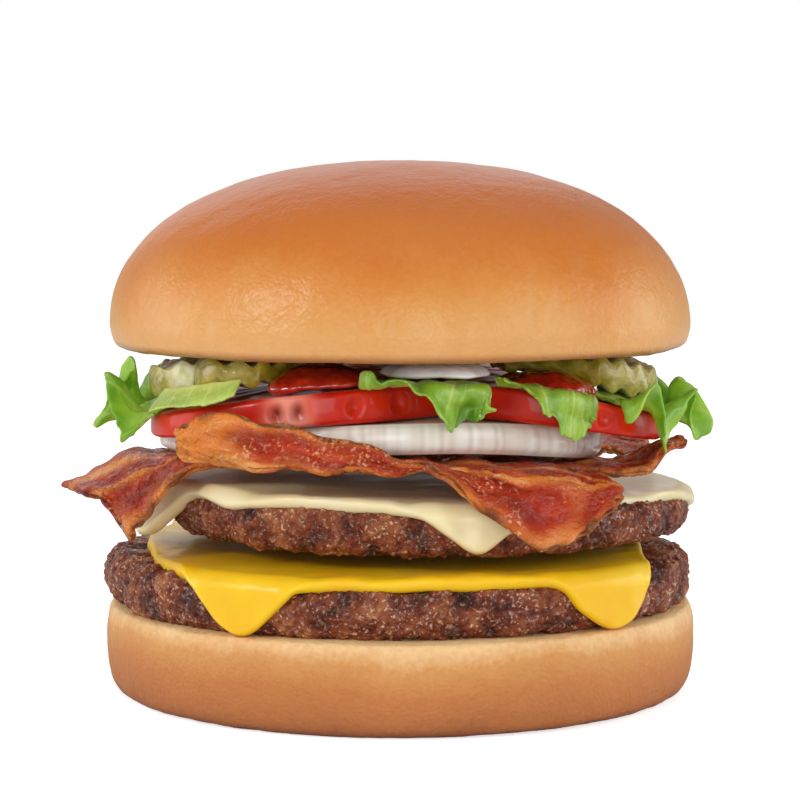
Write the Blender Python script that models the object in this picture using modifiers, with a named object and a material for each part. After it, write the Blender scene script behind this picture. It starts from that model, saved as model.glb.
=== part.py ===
"""A bacon cheeseburger: a bun, two patties, two cheese slices, bacon, onion, tomato, pickles and lettuce.

Lengths are metres, +Z is up, and the origin is the middle of the bun's flat underside. The front faces -Y.
Each layer is worked out from the one that carries it, so a change of a thickness moves what lies above.
"""

import math

import bmesh
import bpy
from mathutils import Vector, noise
from mathutils.bvhtree import BVHTree

# Driving dimensions
GAP = 0.0003
BUN_RADIUS = 0.0528
BUN_TOP_RADIUS = 0.0517
BUN_TOP_UNDERSIDE = 0.0610
BUN_TOP_RISE = 0.0331
BUN_BOTTOM_HEIGHT = 0.0158

LOWER_PATTY_THICKNESS = 0.0097
UPPER_PATTY_THICKNESS = 0.0085
PATTY_SEPARATION = 0.0032
CHEESE_THICKNESS = 0.0021
CHEESE_BEND = 0.0030
CHEESE_STAND_OFF = 0.0013
BACON_THICKNESS = 0.0015
LEAF_THICKNESS = 0.0007

ONION_CENTRE = Vector((-0.0034, -0.0010))
ONION_RADIUS = 0.0396
ONION_UNDERSIDE = 0.0453
ONION_THICKNESS = 0.0051
TOMATO_THICKNESS = 0.0056
TOMATO_THINNING = 0.55
PICKLE_THICKNESS = 0.0052
KETCHUP_THICKNESS = {"ketchup_left": 0.0038, "ketchup_right": 0.0030}

# The top fillings arch over a ridge: height lost to its left and right, for each square metre away from it
ARCH_RIDGE = 0.005
UNDER_ONION_ARCH = (1.0, 4.2)
OVER_ONION_ARCH = (1.9, 3.4)

# Plan places and radii of the pieces that lie side by side
TOMATOES = {
    "tomato_left": (Vector((-0.0160, -0.0130)), 0.0280),
    "tomato_right": (Vector((0.0230, -0.0095)), 0.0230),
    "tomato_back": (Vector((0.0010, 0.0235)), 0.0200),
}
PICKLES = {
    "pickle_left": (Vector((-0.0300, -0.0120)), 0.0140),
    "pickle_front": (Vector((-0.0225, -0.0215)), 0.0130),
    "pickle_right": (Vector((0.0305, -0.0085)), 0.0150),
    "pickle_back": (Vector((0.0020, 0.0250)), 0.0150),
}
SAUCES = {
    "ketchup_left": (Vector((-0.0140, -0.0295)), 0.0105),
    "ketchup_right": (Vector((0.0250, -0.0228)), 0.0088),
    "mayonnaise": (Vector((0.0058, -0.0322)), 0.0095),
}


# Materials
def linear(hex_colour):
    """An sRGB hex colour as linear values."""
    parts = [int(hex_colour[i : i + 2], 16) / 255.0 for i in (0, 2, 4)]
    return [part / 12.92 if part <= 0.04045 else ((part + 0.055) / 1.055) ** 2.4 for part in parts]


def material(name, hex_colour, roughness):
    """A Principled material of one colour."""
    made = bpy.data.materials.new(name)
    made.use_nodes = True
    shader = made.node_tree.nodes["Principled BSDF"]
    shader.inputs["Base Color"].default_value = (*linear(hex_colour), 1.0)
    shader.inputs["Roughness"].default_value = roughness
    shader.inputs["Metallic"].default_value = 0.0
    return made


# Shared ways of making a solid
def add_object(name, bm, finish):
    """Puts a bmesh in the burger's collection under its node name, split into triangles."""
    bmesh.ops.triangulate(bm, faces=bm.faces)
    mesh = bpy.data.meshes.new(name)
    bm.to_mesh(mesh)
    bm.free()
    mesh.shade_smooth()
    mesh.materials.append(finish)
    made = bpy.data.objects.new(name, mesh)
    bpy.data.collections["bacon_cheeseburger"].objects.link(made)
    return made


def round_solid(name, profile, segments, place, finish):
    """A closed round solid: a sphere whose rings take the rows of a profile, from its lower pole up.

    place turns a row of the profile and an angle into a point.
    """
    bm = bmesh.new()
    rings = len(profile) - 1
    bmesh.ops.create_uvsphere(bm, u_segments=segments, v_segments=rings, radius=1.0)
    for vertex in bm.verts:
        ring = round(math.acos(max(-1.0, min(1.0, -vertex.co.z))) / math.pi * rings)
        angle = math.atan2(vertex.co.y, vertex.co.x)
        vertex.co = place(profile[ring], angle)
    return add_object(name, bm, finish)


def sheet_solid(name, columns, rows, place, thickness, finish, offset=0.0, clear=(), distance=0.0):
    """A thin closed solid: a grid, placed by two shares from 0 to 1, which Solidify makes thick.

    The grid keeps at least distance away from the solids named in clear.
    """
    bm = bmesh.new()
    bmesh.ops.create_grid(bm, x_segments=columns, y_segments=rows, size=0.5)
    for vertex in bm.verts:
        vertex.co = place(vertex.co.x + 0.5, vertex.co.y + 0.5)
    push_clear(bm, clear, distance)
    made = add_object(name, bm, finish)
    shell = made.modifiers.new("thickness", "SOLIDIFY")
    shell.thickness = thickness
    shell.offset = offset
    return made


def push_clear(bm, clear, distance):
    """Moves the points of a sheet out of the solids that it rests on or leans against."""
    bpy.context.view_layer.update()
    depsgraph = bpy.context.evaluated_depsgraph_get()
    trees = [BVHTree.FromObject(bpy.data.objects[name], depsgraph) for name in clear]
    for _ in range(8):
        for vertex in bm.verts:
            for tree in trees:
                nearest, normal, _face, away = tree.find_nearest(vertex.co)
                outward = vertex.co - nearest
                inside = outward.dot(normal) < -0.7 * away
                if inside or away < distance:
                    direction = normal if inside or away < GAP / 10.0 else outward / away
                    vertex.co = nearest + direction * distance


def on_circle(centre, radius, angle, height):
    """A point at a plan radius and angle about a centre."""
    x = centre.x + radius * math.cos(angle)
    y = centre.y + radius * math.sin(angle)
    return Vector((x, y, height))


def smooth_step(low, high, value):
    """0 at low, 1 at high, and an even slope between them."""
    share = max(0.0, min(1.0, (value - low) / (high - low)))
    return share * share * (3.0 - 2.0 * share)


def pressed(angle, name, pieces, spacing=GAP):
    """The outline radius of a round piece, flattened where it presses on its neighbours."""
    centre, radius = pieces[name]
    reach = radius
    for other, (other_centre, other_radius) in pieces.items():
        apart = other_centre - centre
        if other == name or apart.length > radius + other_radius + spacing:
            continue
        turn = math.cos(angle - math.atan2(apart.y, apart.x))
        face = (apart.length_squared + radius**2 - other_radius**2) / (2.0 * apart.length)
        if turn > 0.05:
            reach = min(reach, (face - spacing / 2.0) / turn)
    return reach


# Bun
def build_bun(name, profile, lift, seed, finish):
    """Half a bun turned from (radius, height) rows, its baked side a little out of round."""
    flat_radius = profile[2][0]

    def place(row, angle):
        radius, height = row
        if radius > flat_radius:
            spot = Vector((2.0 * math.cos(angle), 2.0 * math.sin(angle), height * 40.0 + seed))
            radius += 0.0005 * noise.noise(spot)
        return on_circle(Vector((0.0, 0.0)), radius, angle, lift + height)

    return round_solid(name, profile, 40, place, finish)


def build_bun_bottom(finish):
    """The heel: a low cushion with a flat base and a cut top."""
    top = BUN_BOTTOM_HEIGHT
    side = [(BUN_RADIUS - 0.0019, 0.0009), (BUN_RADIUS - 0.0006, 0.0035), (BUN_RADIUS, 0.0080)]
    side += [(BUN_RADIUS - 0.0001, 0.0130), (BUN_RADIUS - 0.0008, top - 0.0005), (BUN_RADIUS - 0.0021, top)]
    profile = [(0.0, 0.0), (0.025, 0.0), (BUN_RADIUS - 0.0039, 0.0), *side, (0.025, top), (0.0, top)]
    return build_bun("bun_bottom", profile, 0.0, 3.0, finish)


def build_bun_top(finish):
    """The crown: a superellipse dome, tucked in to its cut face."""
    widest = 0.0038
    roundness = 2.0 / 2.2
    steps = 8
    profile = [(0.0, 0.0), (0.028, 0.0), (BUN_TOP_RADIUS - 0.0025, 0.0), (BUN_TOP_RADIUS - 0.0008, 0.0010)]
    for step in range(steps):
        turn = step / steps * math.pi / 2.0
        rise = widest + (BUN_TOP_RISE - widest) * math.sin(turn) ** roundness
        profile.append((BUN_TOP_RADIUS * math.cos(turn) ** roundness, rise))
    profile.append((0.0, BUN_TOP_RISE))
    return build_bun("bun_top", profile, BUN_TOP_UNDERSIDE, 7.0, finish)


# Patties
class Patty:
    """A pressed beef patty: its middle, its uneven outline, and two faces that may tip and bow along X."""

    def __init__(self, centre, side_radius, front_radius, underside, top, seed, dent_depth=0.0):
        self.centre = Vector(centre)
        self.side_radius = side_radius
        self.front_radius = front_radius
        self.underside = underside
        self.top = top
        self.seed = seed
        self.dent_depth = dent_depth

    def outline(self, angle):
        """The plan radius at an angle; a dent, where there is one, is at the right, a little to the back."""
        across = math.cos(angle) ** 2
        radius = self.side_radius * across + self.front_radius * (1.0 - across)
        radius += 0.0007 * noise.noise(Vector((1.6 * math.cos(angle), 1.6 * math.sin(angle), self.seed)))
        away = math.remainder(angle - math.radians(20.0), 2.0 * math.pi) / math.radians(25.0)
        return radius - self.dent_depth * math.exp(-away * away)

    def level(self, x, share):
        """The height at x of the underside at share 0, of the top at share 1, and between them."""
        away = x - self.centre.x
        low, high = (base + slope * away + bow * away**2 for base, slope, bow in (self.underside, self.top))
        return low + share * (high - low)

    def build(self, name, finish):
        """The solid: rows of (share of the radius, inset from the outline, share of the height)."""
        shoulder = [(1.0, 0.0034, 0.0), (1.0, 0.0012, 0.12), (1.0, 0.0002, 0.33), (1.0, 0.0, 0.58)]
        shoulder += [(1.0, 0.0009, 0.82), (1.0, 0.0034, 0.95)]
        profile = [(0.0, 0.0, 0.0), (0.6, 0.0, 0.0), *shoulder, (0.6, 0.0, 1.0), (0.0, 0.0, 1.0)]

        def place(row, angle):
            part, inset, share = row
            radius = part * self.outline(angle) - inset
            if part == 1.0:
                spot = on_circle(Vector((0.0, 0.0)), radius, angle, share * 0.009) * 210.0
                spot.z += self.seed
                radius += 0.0009 * math.sin(math.pi * share) * noise.noise(spot)
            x = self.centre.x + radius * math.cos(angle)
            return on_circle(self.centre, radius, angle, self.level(x, share))

        return round_solid(name, profile, 52, place, finish)


LOWER_PATTY_UNDERSIDE = BUN_BOTTOM_HEIGHT + GAP
LOWER_PATTY_TOP = LOWER_PATTY_UNDERSIDE + LOWER_PATTY_THICKNESS
UPPER_PATTY_UNDERSIDE = LOWER_PATTY_TOP + PATTY_SEPARATION
LOWER_PATTY = Patty(
    centre=(-0.0006, 0.0),
    side_radius=0.0522,
    front_radius=0.0500,
    underside=(LOWER_PATTY_UNDERSIDE, 0.0, 0.0),
    top=(LOWER_PATTY_TOP, 0.0, 0.0),
    seed=11.3,
)
UPPER_PATTY = Patty(
    centre=(0.0053, 0.0010),
    side_radius=0.0469,
    front_radius=0.0452,
    underside=(UPPER_PATTY_UNDERSIDE, -0.004, 0.10),
    top=(UPPER_PATTY_UNDERSIDE + UPPER_PATTY_THICKNESS, -0.022, 0.0),
    seed=23.7,
    dent_depth=0.0030,
)


# Cheese
# How far each slice's edge reaches past the bend, in millimetres, at angles in degrees from the right; it is
# negative where the edge stays on the patty. The front is at -90.
YELLOW_EDGE = (
    (-171.0, -5.6),
    (-148.0, -2.2),
    (-137.0, 0.8),
    (-131.0, 4.8),
    (-124.6, 10.3),
    (-119.0, 11.8),
    (-112.5, 7.4),
    (-107.0, 3.0),
    (-90.0, 2.4),
    (-65.0, 2.4),
    (-59.0, 3.6),
    (-53.5, 8.6),
    (-45.0, 12.0),
    (-38.0, 8.5),
    (-33.0, 2.0),
    (-20.0, -4.3),
    (0.0, -6.6),
    (30.0, -3.0),
    (48.0, 8.0),
    (65.0, 0.0),
    (90.0, -3.0),
    (120.0, -1.0),
    (137.0, 7.0),
    (152.0, -1.0),
)
WHITE_EDGE = (
    (-180.0, 10.5),
    (-170.0, 13.5),
    (-162.0, 11.5),
    (-154.0, 5.0),
    (-147.0, 3.6),
    (-137.0, 4.6),
    (-128.0, 3.4),
    (-117.0, 2.2),
    (-104.0, 2.5),
    (-94.0, 3.6),
    (-87.0, 7.0),
    (-80.5, 9.9),
    (-74.0, 6.8),
    (-64.0, 2.5),
    (-45.0, -0.8),
    (-30.0, 0.5),
    (-18.0, 3.0),
    (-5.0, 6.0),
    (10.0, 6.6),
    (25.0, 4.0),
    (42.0, -0.5),
    (70.0, -3.0),
    (90.0, 0.5),
    (103.0, 7.5),
    (117.0, 3.0),
    (135.0, -1.5),
    (160.0, 0.0),
)


def around(stations, angle):
    """A smooth closed curve's value at an angle, through stations of (angle, value)."""
    turns = len(stations)
    rows = [(a - 360.0, v) for a, v in stations] + list(stations) + [(a + 360.0, v) for a, v in stations]
    at = math.degrees(math.atan2(math.sin(angle), math.cos(angle)))
    index = max(i for i in range(turns - 1, 2 * turns) if rows[i][0] <= at)
    (a0, v0), (a1, v1), (a2, v2), (a3, v3) = rows[index - 1 : index + 3]
    span = a2 - a1
    t = (at - a1) / span
    leave = (v2 - v0) / (a2 - a0) * span
    arrive = (v3 - v1) / (a3 - a1) * span
    rise = v2 - v1
    return v1 + t * (leave + t * (3.0 * rise - 2.0 * leave - arrive + t * (leave + arrive - 2.0 * rise)))


def on_disc(across, along):
    """Two shares from 0 to 1 of a square, as a disc's angle and share of its radius.

    The rings are finer at the disc's edge, and their points closer together at the front.
    """
    finer_edge, finer_front = 0.18, 0.35
    a, b = 2.0 * across - 1.0, 2.0 * along - 1.0
    ring = max(abs(a), abs(b))
    if ring == 0.0:
        return 0.0, 0.0
    if abs(a) >= abs(b):
        angle = math.pi / 4.0 * b / a + (0.0 if a > 0.0 else math.pi)
    else:
        angle = math.pi / 2.0 - math.pi / 4.0 * a / b + (0.0 if b > 0.0 else math.pi)
    return angle - finer_front * math.cos(angle), ring + finer_edge * math.sin(math.pi * ring)


def build_cheese(name, patty, edge, lean, finish):
    """A slice that lies on a patty and has melted over its edge, with its corners run down as round tongues.

    lean is how far down it bends at the front and at the left.
    """
    front_lean, left_lean = lean

    def place(across, along):
        angle, share = on_disc(across, along)
        start = patty.outline(angle) + CHEESE_STAND_OFF - CHEESE_BEND
        length = share * (start + 0.001 * around(edge, angle))
        over = length - start
        if over <= 0.0:
            x = patty.centre.x + length * math.cos(angle)
            return on_circle(patty.centre, length, angle, patty.level(x, 1.0) + GAP)
        most = front_lean + (left_lean - front_lean) * max(0.0, -math.cos(angle)) ** 2
        bent = min(over / CHEESE_BEND, most)
        hanging = max(0.0, over - CHEESE_BEND * bent)
        out = start + CHEESE_BEND * math.sin(bent) + hanging * math.cos(bent)
        down = CHEESE_BEND * (1.0 - math.cos(bent)) + hanging * math.sin(bent)
        x = patty.centre.x + out * math.cos(angle)
        return on_circle(patty.centre, out, angle, patty.level(x, 1.0) + GAP - down)

    patty_name = "patty_upper" if patty is UPPER_PATTY else "patty_lower"
    return sheet_solid(name, 17, 17, place, CHEESE_THICKNESS, finish, 1.0, (patty_name,), GAP)


# Onion and tomato
def arch(x, sides):
    """The height lost at x to the fillings' arch, whose two sides fall at their own rates."""
    left, right = sides
    return (left if x < ARCH_RIDGE else right) * (x - ARCH_RIDGE) ** 2


def over_onion(x):
    """The height at x of the surface that the tomatoes lie on."""
    return ONION_UNDERSIDE + ONION_THICKNESS - arch(x, OVER_ONION_ARCH)


def over_tomato(x):
    """The height at x of the tomatoes' top, as they get thinner to the sides."""
    thinning = TOMATO_THINNING * (x - ARCH_RIDGE) ** 2
    return over_onion(x) + GAP + TOMATO_THICKNESS - thinning


def build_slab(name, outline, centre, low, high, profile, segments, finish):
    """A round slice between two surfaces: rows of (share of the radius, inset, share of the height)."""

    def place(row, angle):
        part, inset, share = row
        point = on_circle(centre, part * outline(angle) - inset, angle, 0.0)
        bottom = low(point.x, point.y)
        point.z = bottom + share * (high(point.x, point.y) - bottom)
        return point

    return round_solid(name, profile, segments, place, finish)


def build_onion(finish):
    """One thick ring-cut slice, its side bulging, thinner where it droops at the left."""
    profile = [(0.0, 0.0, 0.0), (0.6, 0.0, 0.0), (1.0, 0.0014, 0.0), (1.0, 0.0002, 0.22), (1.0, 0.0, 0.55)]
    profile += [(1.0, 0.0004, 0.85), (1.0, 0.0014, 1.0), (0.6, 0.0, 1.0), (0.0, 0.0, 1.0)]

    def outline(angle):
        return ONION_RADIUS + 0.0004 * math.sin(3.0 * angle)

    def low(x, y):
        return ONION_UNDERSIDE - arch(x, UNDER_ONION_ARCH)

    def high(x, y):
        return over_onion(x)

    return build_slab("onion", outline, ONION_CENTRE, low, high, profile, 36, finish)


def build_tomato(name, finish):
    """A tomato slice with its skin bulging a little, flattened where it meets the next slice."""
    profile = [(0.0, 0.0, 0.0), (0.6, 0.0, 0.0), (1.0, 0.0012, 0.0), (1.0, 0.0002, 0.30), (1.0, 0.0, 0.60)]
    profile += [(1.0, 0.0005, 0.90), (1.0, 0.0014, 1.0), (0.6, 0.0, 1.0), (0.0, 0.0, 1.0)]

    def outline(angle):
        return pressed(angle, name, TOMATOES) + 0.0003 * math.cos(5.0 * angle) - 0.0003

    def low(x, y):
        return over_onion(x) + GAP

    def high(x, y):
        return over_tomato(x)

    return build_slab(name, outline, TOMATOES[name][0], low, high, profile, 28, finish)


# Pickles and sauces
def over_leaf(x):
    """The height at x of what lies on a leaf that lies on the tomatoes."""
    return over_tomato(x) + LEAF_THICKNESS + 3.0 * GAP


def build_pickle(name, finish):
    """A crinkle-cut slice: both faces wave together, with straight ridges."""
    ridge_spacing = 0.0040
    ridge_height = 0.0006
    profile = [(0.0, 0.0, 0.0), (0.7, 0.0, 0.0), (1.0, 0.0004, 0.04), (1.0, 0.0, 0.5), (1.0, 0.0004, 0.96)]
    profile += [(0.7, 0.0, 1.0), (0.0, 0.0, 1.0)]

    def outline(angle):
        return pressed(angle, name, {**PICKLES, **SAUCES})

    def wave(x, y):
        return ridge_height * math.sin(2.0 * math.pi * (x + 0.25 * y) / ridge_spacing)

    def low(x, y):
        return over_leaf(x) + ridge_height + wave(x, y)

    def high(x, y):
        highest = BUN_TOP_UNDERSIDE - GAP - ridge_height
        return min(low(x, y) + PICKLE_THICKNESS, highest + wave(x, y))

    return build_slab(name, outline, PICKLES[name][0], low, high, profile, 36, finish)


def build_sauce(name, low, highest, segments, finish):
    """A dollop of sauce: flat below, with lobes at its edge and a soft dome above."""
    centre, radius = SAUCES[name]
    profile = [(0.0, 0.0, 0.0), (0.6, 0.0, 0.0), (0.94, 0.0, 0.05), (1.0, 0.0, 0.24), (0.86, 0.0, 0.60)]
    profile += [(0.5, 0.0, 0.92), (0.0, 0.0, 1.0)]

    def outline(angle):
        lobes = radius * (0.94 + 0.06 * math.sin(5.0 * angle + 20.0 * centre.x))
        return min(lobes, pressed(angle, name, {**PICKLES, **SAUCES}))

    def bottom(x, y):
        return low(x)

    def top(x, y):
        return highest

    return build_slab(name, outline, centre, bottom, top, profile, segments, finish)


# Bacon
def spline(rows, share):
    """A smooth curve through rows of numbers, at a share of its length from 0 to 1."""
    at = share * (len(rows) - 1)
    index = min(int(at), len(rows) - 2)
    t = at - index
    before, start, end, after = (rows[max(0, min(len(rows) - 1, index + step))] for step in (-1, 0, 1, 2))
    values = []
    for a, b, c, d in zip(before, start, end, after):
        values.append(b + 0.5 * t * (c - a + t * (2 * a - 5 * b + 4 * c - d + t * (3 * (b - c) + d - a))))
    return values


def build_bacon(name, stations, ripple, clear, finish):
    """A strip bent along its middle line: its stations say where that line runs and how each side leaves it.

    A station is x, y and z of the line, the length and upward angle of the front side and of the back side,
    and how far the strip's end slants to the left at the back, in millimetres and degrees.
    """
    height, pitch = ripple
    crease = 0.3

    def place(along, across):
        x, y, z, front, front_angle, back, back_angle, slant = spline(stations, along)
        side = 2.0 * across - 1.0
        length, angle = (front, front_angle) if side < 0.0 else (back, back_angle)
        reach = length * (math.hypot(side, crease) - crease) / (math.hypot(1.0, crease) - crease)
        point = Vector((x - slant * side, y + math.copysign(reach, side) * math.cos(math.radians(angle)), z))
        point.z += reach * math.sin(math.radians(angle))
        point.z += height * math.sin(2.0 * math.pi * (point.x + 0.3 * point.y) / pitch)
        return point * 0.001

    distance = BACON_THICKNESS / 2.0 + 2.5 * GAP
    return sheet_solid(name, 22, 6, place, BACON_THICKNESS, finish, clear=clear, distance=distance)


BACON_THROUGH = (
    (-52.8, -17.5, 36.0, 13.5, -24.0, 13.0, -2.0, 7.2),
    (-45.5, -16.5, 38.9, 13.5, -22.0, 14.5, 11.0, 2.5),
    (-34.0, -13.5, 42.4, 13.0, -2.0, 13.0, 0.0, 0.0),
    (-14.0, -9.0, 42.6, 11.5, 0.0, 12.0, 0.0, 0.0),
    (8.0, -9.0, 42.2, 11.5, 0.0, 12.0, 0.0, 0.0),
    (30.0, -14.0, 40.6, 11.0, -4.0, 11.0, -3.0, 0.0),
    (40.0, -16.5, 40.7, 8.0, -8.0, 8.0, 10.0, 0.0),
    (49.5, -12.5, 45.0, 2.0, 10.0, 2.0, 10.0, 0.0),
)
BACON_FRONT = (
    (-36.5, -41.2, 47.8, 2.2, 80.0, 2.2, -70.0, 0.0),
    (-30.0, -41.6, 45.0, 7.4, 80.0, 3.0, -20.0, 0.0),
    (-18.0, -42.0, 43.6, 6.6, 76.0, 8.0, 0.0, 0.0),
    (-5.0, -41.8, 43.0, 4.4, 60.0, 13.0, 0.0, 0.0),
    (6.0, -41.5, 43.2, 3.5, 0.0, 14.0, 0.0, 0.0),
    (15.0, -42.0, 42.4, 9.5, -46.0, 14.0, 0.0, 0.0),
    (25.0, -41.0, 41.4, 12.5, -58.0, 11.0, 3.0, 0.0),
    (32.0, -38.0, 40.2, 8.0, -40.0, 6.0, 6.0, 0.0),
    (36.5, -38.5, 38.6, 2.0, -20.0, 2.0, 6.0, 0.0),
)
BACON_BACK = (
    (-40.0, 35.0, 39.5, 9.0, 8.0, 9.0, -12.0, 0.0),
    (-30.0, 31.0, 42.0, 11.0, 2.0, 11.0, -4.0, 0.0),
    (-10.0, 26.0, 42.6, 11.5, 0.0, 11.5, 0.0, 0.0),
    (12.0, 21.0, 42.2, 11.5, 0.0, 11.5, 0.0, 0.0),
    (31.0, 17.0, 40.0, 11.0, 0.0, 11.0, 0.0, 0.0),
    (39.0, 16.0, 42.6, 10.0, -8.0, 9.0, 10.0, 0.0),
    (46.5, 15.0, 40.6, 8.0, -10.0, 8.0, 12.0, 0.0),
)


# Lettuce
def build_leaf(name, centre, angles, radii, reach, lean, ruffle, clear, finish, cells=(18, 5), rise=0.0):
    """A ruffled leaf on the tomatoes: flat from its root radius to the rim radius, then free.

    Past the rim it goes on for reach, leaning down by lean, both from its first angle to its last. ruffle
    holds the wave's height, its number of waves and where it starts, in turns; rise lifts the root.
    """
    first, last = (math.radians(angle) for angle in angles)
    root, rim = radii
    wave_height, waves, start = ruffle

    def place(along, across):
        angle = first + along * (last - first)
        turned = smooth_step(0.2, 0.8, along)
        free = reach[0] + turned * (reach[1] - reach[0])
        free *= 0.86 + 0.14 * math.sin(2.0 * math.pi * (waves * 1.5 * along + 0.2))
        bend = math.radians(lean[0] + turned * (lean[1] - lean[0]))
        length = across * (rim - root + free)
        past = max(0.0, root + length - rim)
        bent = bend * smooth_step(0.0, 0.004, past)
        grown = (past / free) ** 1.3
        wave = wave_height * grown * math.sin(2.0 * math.pi * (waves * along + start))
        radius = min(root + length, rim) + past * math.cos(bent) + wave * math.sin(bent)
        point = on_circle(centre, radius, angle, 0.0)
        surface = over_tomato(centre.x + min(radius, rim) * math.cos(angle))
        lift = rise * (1.0 - min(1.0, length / (rim - root + 0.001)))
        point.z = surface + LEAF_THICKNESS / 2.0 + 1.5 * GAP + lift
        point.z += wave * math.cos(bent) - past * math.sin(bent)
        return point

    distance = LEAF_THICKNESS / 2.0 + 1.5 * GAP
    columns, rows = cells
    return sheet_solid(name, columns, rows, place, LEAF_THICKNESS, finish, clear=clear, distance=distance)


# The burger, from the parts that carry to the parts that fit between them
for old in list(bpy.data.objects):
    bpy.data.objects.remove(old, do_unlink=True)
bpy.context.scene.collection.children.link(bpy.data.collections.new("bacon_cheeseburger"))

build_bun_bottom(material("bun bottom crust", "D9A35F", 0.6))
build_bun_top(material("bun top crust", "CF8440", 0.38))
beef = material("grilled beef", "5A3226", 0.4)
LOWER_PATTY.build("patty_lower", beef)
UPPER_PATTY.build("patty_upper", beef)
build_cheese(
    "cheese_yellow",
    LOWER_PATTY,
    YELLOW_EDGE,
    lean=(math.radians(88.0), math.radians(88.0)),
    finish=material("yellow cheese", "F6C02C", 0.35),
)
build_cheese(
    "cheese_white",
    UPPER_PATTY,
    WHITE_EDGE,
    lean=(math.radians(84.0), math.radians(56.0)),
    finish=material("white cheese", "EEE4BF", 0.35),
)
build_onion(material("onion", "E4DAD3", 0.3))
red = material("tomato", "C9301B", 0.25)
for tomato in TOMATOES:
    build_tomato(tomato, red)
green_brown = material("pickle", "99933A", 0.3)
for pickle in PICKLES:
    build_pickle(pickle, green_brown)


def on_tomato(x):
    """Where a sauce dollop on a tomato starts."""
    return over_tomato(x) + GAP


ketchup = material("ketchup", "8E1A10", 0.12)
for dollop in ("ketchup_left", "ketchup_right"):
    highest_ketchup = on_tomato(SAUCES[dollop][0].x) + KETCHUP_THICKNESS[dollop]
    build_sauce(dollop, on_tomato, highest_ketchup, 18, ketchup)
build_sauce("mayonnaise", over_leaf, BUN_TOP_UNDERSIDE - GAP, 20, material("mayonnaise", "F2EFE4", 0.25))

smoked = material("bacon", "B04A2A", 0.35)
build_bacon("bacon_through", BACON_THROUGH, (0.5, 13.0), ("patty_upper", "cheese_white", "onion"), smoked)
around_front = ("patty_upper", "cheese_white", "onion", "tomato_left", "bacon_through")
build_bacon("bacon_front", BACON_FRONT, (0.4, 11.0), around_front, smoked)
around_back = ("patty_upper", "cheese_white", "onion", "bacon_through")
build_bacon("bacon_back", BACON_BACK, (0.5, 12.0), around_back, smoked)

green = material("lettuce", "79AD2E", 0.35)
left_slice, left_radius = TOMATOES["tomato_left"]
right_slice, right_radius = TOMATOES["tomato_right"]
back_slice, back_radius = TOMATOES["tomato_back"]
middle = Vector((0.0, 0.0))
beside_top = (*TOMATOES, *PICKLES, *SAUCES, "onion", "bun_top", "bacon_front")
build_leaf(
    "lettuce_left",
    left_slice,
    angles=(152.0, 204.0),
    radii=(0.0180, 0.0292),
    reach=(0.0068, 0.0072),
    lean=(-34.0, -10.0),
    ruffle=(0.0056, 2.5, 0.35),
    clear=beside_top,
    finish=green,
)
build_leaf(
    "lettuce_rib",
    left_slice,
    angles=(206.0, 247.0),
    radii=(0.0262, left_radius + 0.0006),
    reach=(0.0022, 0.0012),
    lean=(30.0, 30.0),
    ruffle=(0.0004, 1.0, 0.0),
    clear=beside_top,
    finish=green,
    cells=(14, 3),
    rise=0.0028,
)
build_leaf(
    "lettuce_front",
    middle,
    angles=(-99.0, -70.0),
    radii=(0.0375, 0.0420),
    reach=(0.0045, 0.0088),
    lean=(-30.0, 92.0),
    ruffle=(0.0016, 2.5, 0.1),
    clear=beside_top,
    finish=green,
)
build_leaf(
    "lettuce_front_right",
    right_slice,
    angles=(-106.0, -68.0),
    radii=(0.0212, right_radius + 0.0008),
    reach=(0.0045, 0.0082),
    lean=(-10.0, 85.0),
    ruffle=(0.0015, 2.0, 0.1),
    clear=beside_top + ("lettuce_front",),
    finish=green,
    cells=(15, 5),
)
build_leaf(
    "lettuce_right",
    right_slice,
    angles=(-54.0, 30.0),
    radii=(0.0140, right_radius + 0.0007),
    reach=(0.0062, 0.0066),
    lean=(20.0, -26.0),
    ruffle=(0.0046, 3.5, 0.9),
    clear=beside_top + ("bacon_through",),
    finish=green,
)
build_leaf(
    "lettuce_back",
    back_slice,
    angles=(50.0, 128.0),
    radii=(0.0130, back_radius + 0.0008),
    reach=(0.0060, 0.0060),
    lean=(20.0, 40.0),
    ruffle=(0.0032, 3.0, 0.3),
    clear=beside_top + ("bacon_back",),
    finish=green,
)
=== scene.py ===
"""The looks of a bacon cheeseburger, piece by piece from the heel up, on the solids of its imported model.

Lengths are metres, +Z is up, the front faces -Y, and the origin is the middle of the heel's flat underside.
"""

import math

import bpy
import numpy as np
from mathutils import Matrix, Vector, noise
from mathutils.bvhtree import BVHTree


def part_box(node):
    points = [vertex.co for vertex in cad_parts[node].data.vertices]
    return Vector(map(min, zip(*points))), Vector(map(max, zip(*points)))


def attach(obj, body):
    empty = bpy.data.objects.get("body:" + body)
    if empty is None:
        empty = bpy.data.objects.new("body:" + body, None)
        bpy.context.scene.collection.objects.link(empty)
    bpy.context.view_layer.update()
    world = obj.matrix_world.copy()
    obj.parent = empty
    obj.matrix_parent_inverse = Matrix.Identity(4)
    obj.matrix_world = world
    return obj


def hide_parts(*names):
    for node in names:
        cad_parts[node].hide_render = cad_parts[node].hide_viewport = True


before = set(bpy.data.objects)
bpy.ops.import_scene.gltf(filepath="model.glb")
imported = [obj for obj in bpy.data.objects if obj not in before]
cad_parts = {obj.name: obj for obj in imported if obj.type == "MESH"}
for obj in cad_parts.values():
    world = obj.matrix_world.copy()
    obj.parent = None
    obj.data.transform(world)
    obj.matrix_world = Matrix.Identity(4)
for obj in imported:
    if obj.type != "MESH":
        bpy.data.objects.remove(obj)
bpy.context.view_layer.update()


# Heel
# The lower half of a soft white bun. Its side is baked skin, dry and fine-grained, golden where it faced
# the oven's heat and browner where it stood on the tray. The cut top is hidden under the patty.
HEEL_RADIUS = 0.0528
HEEL_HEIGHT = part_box("bun_bottom")[1].z
BUN_SWELL = 0.0005
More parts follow.
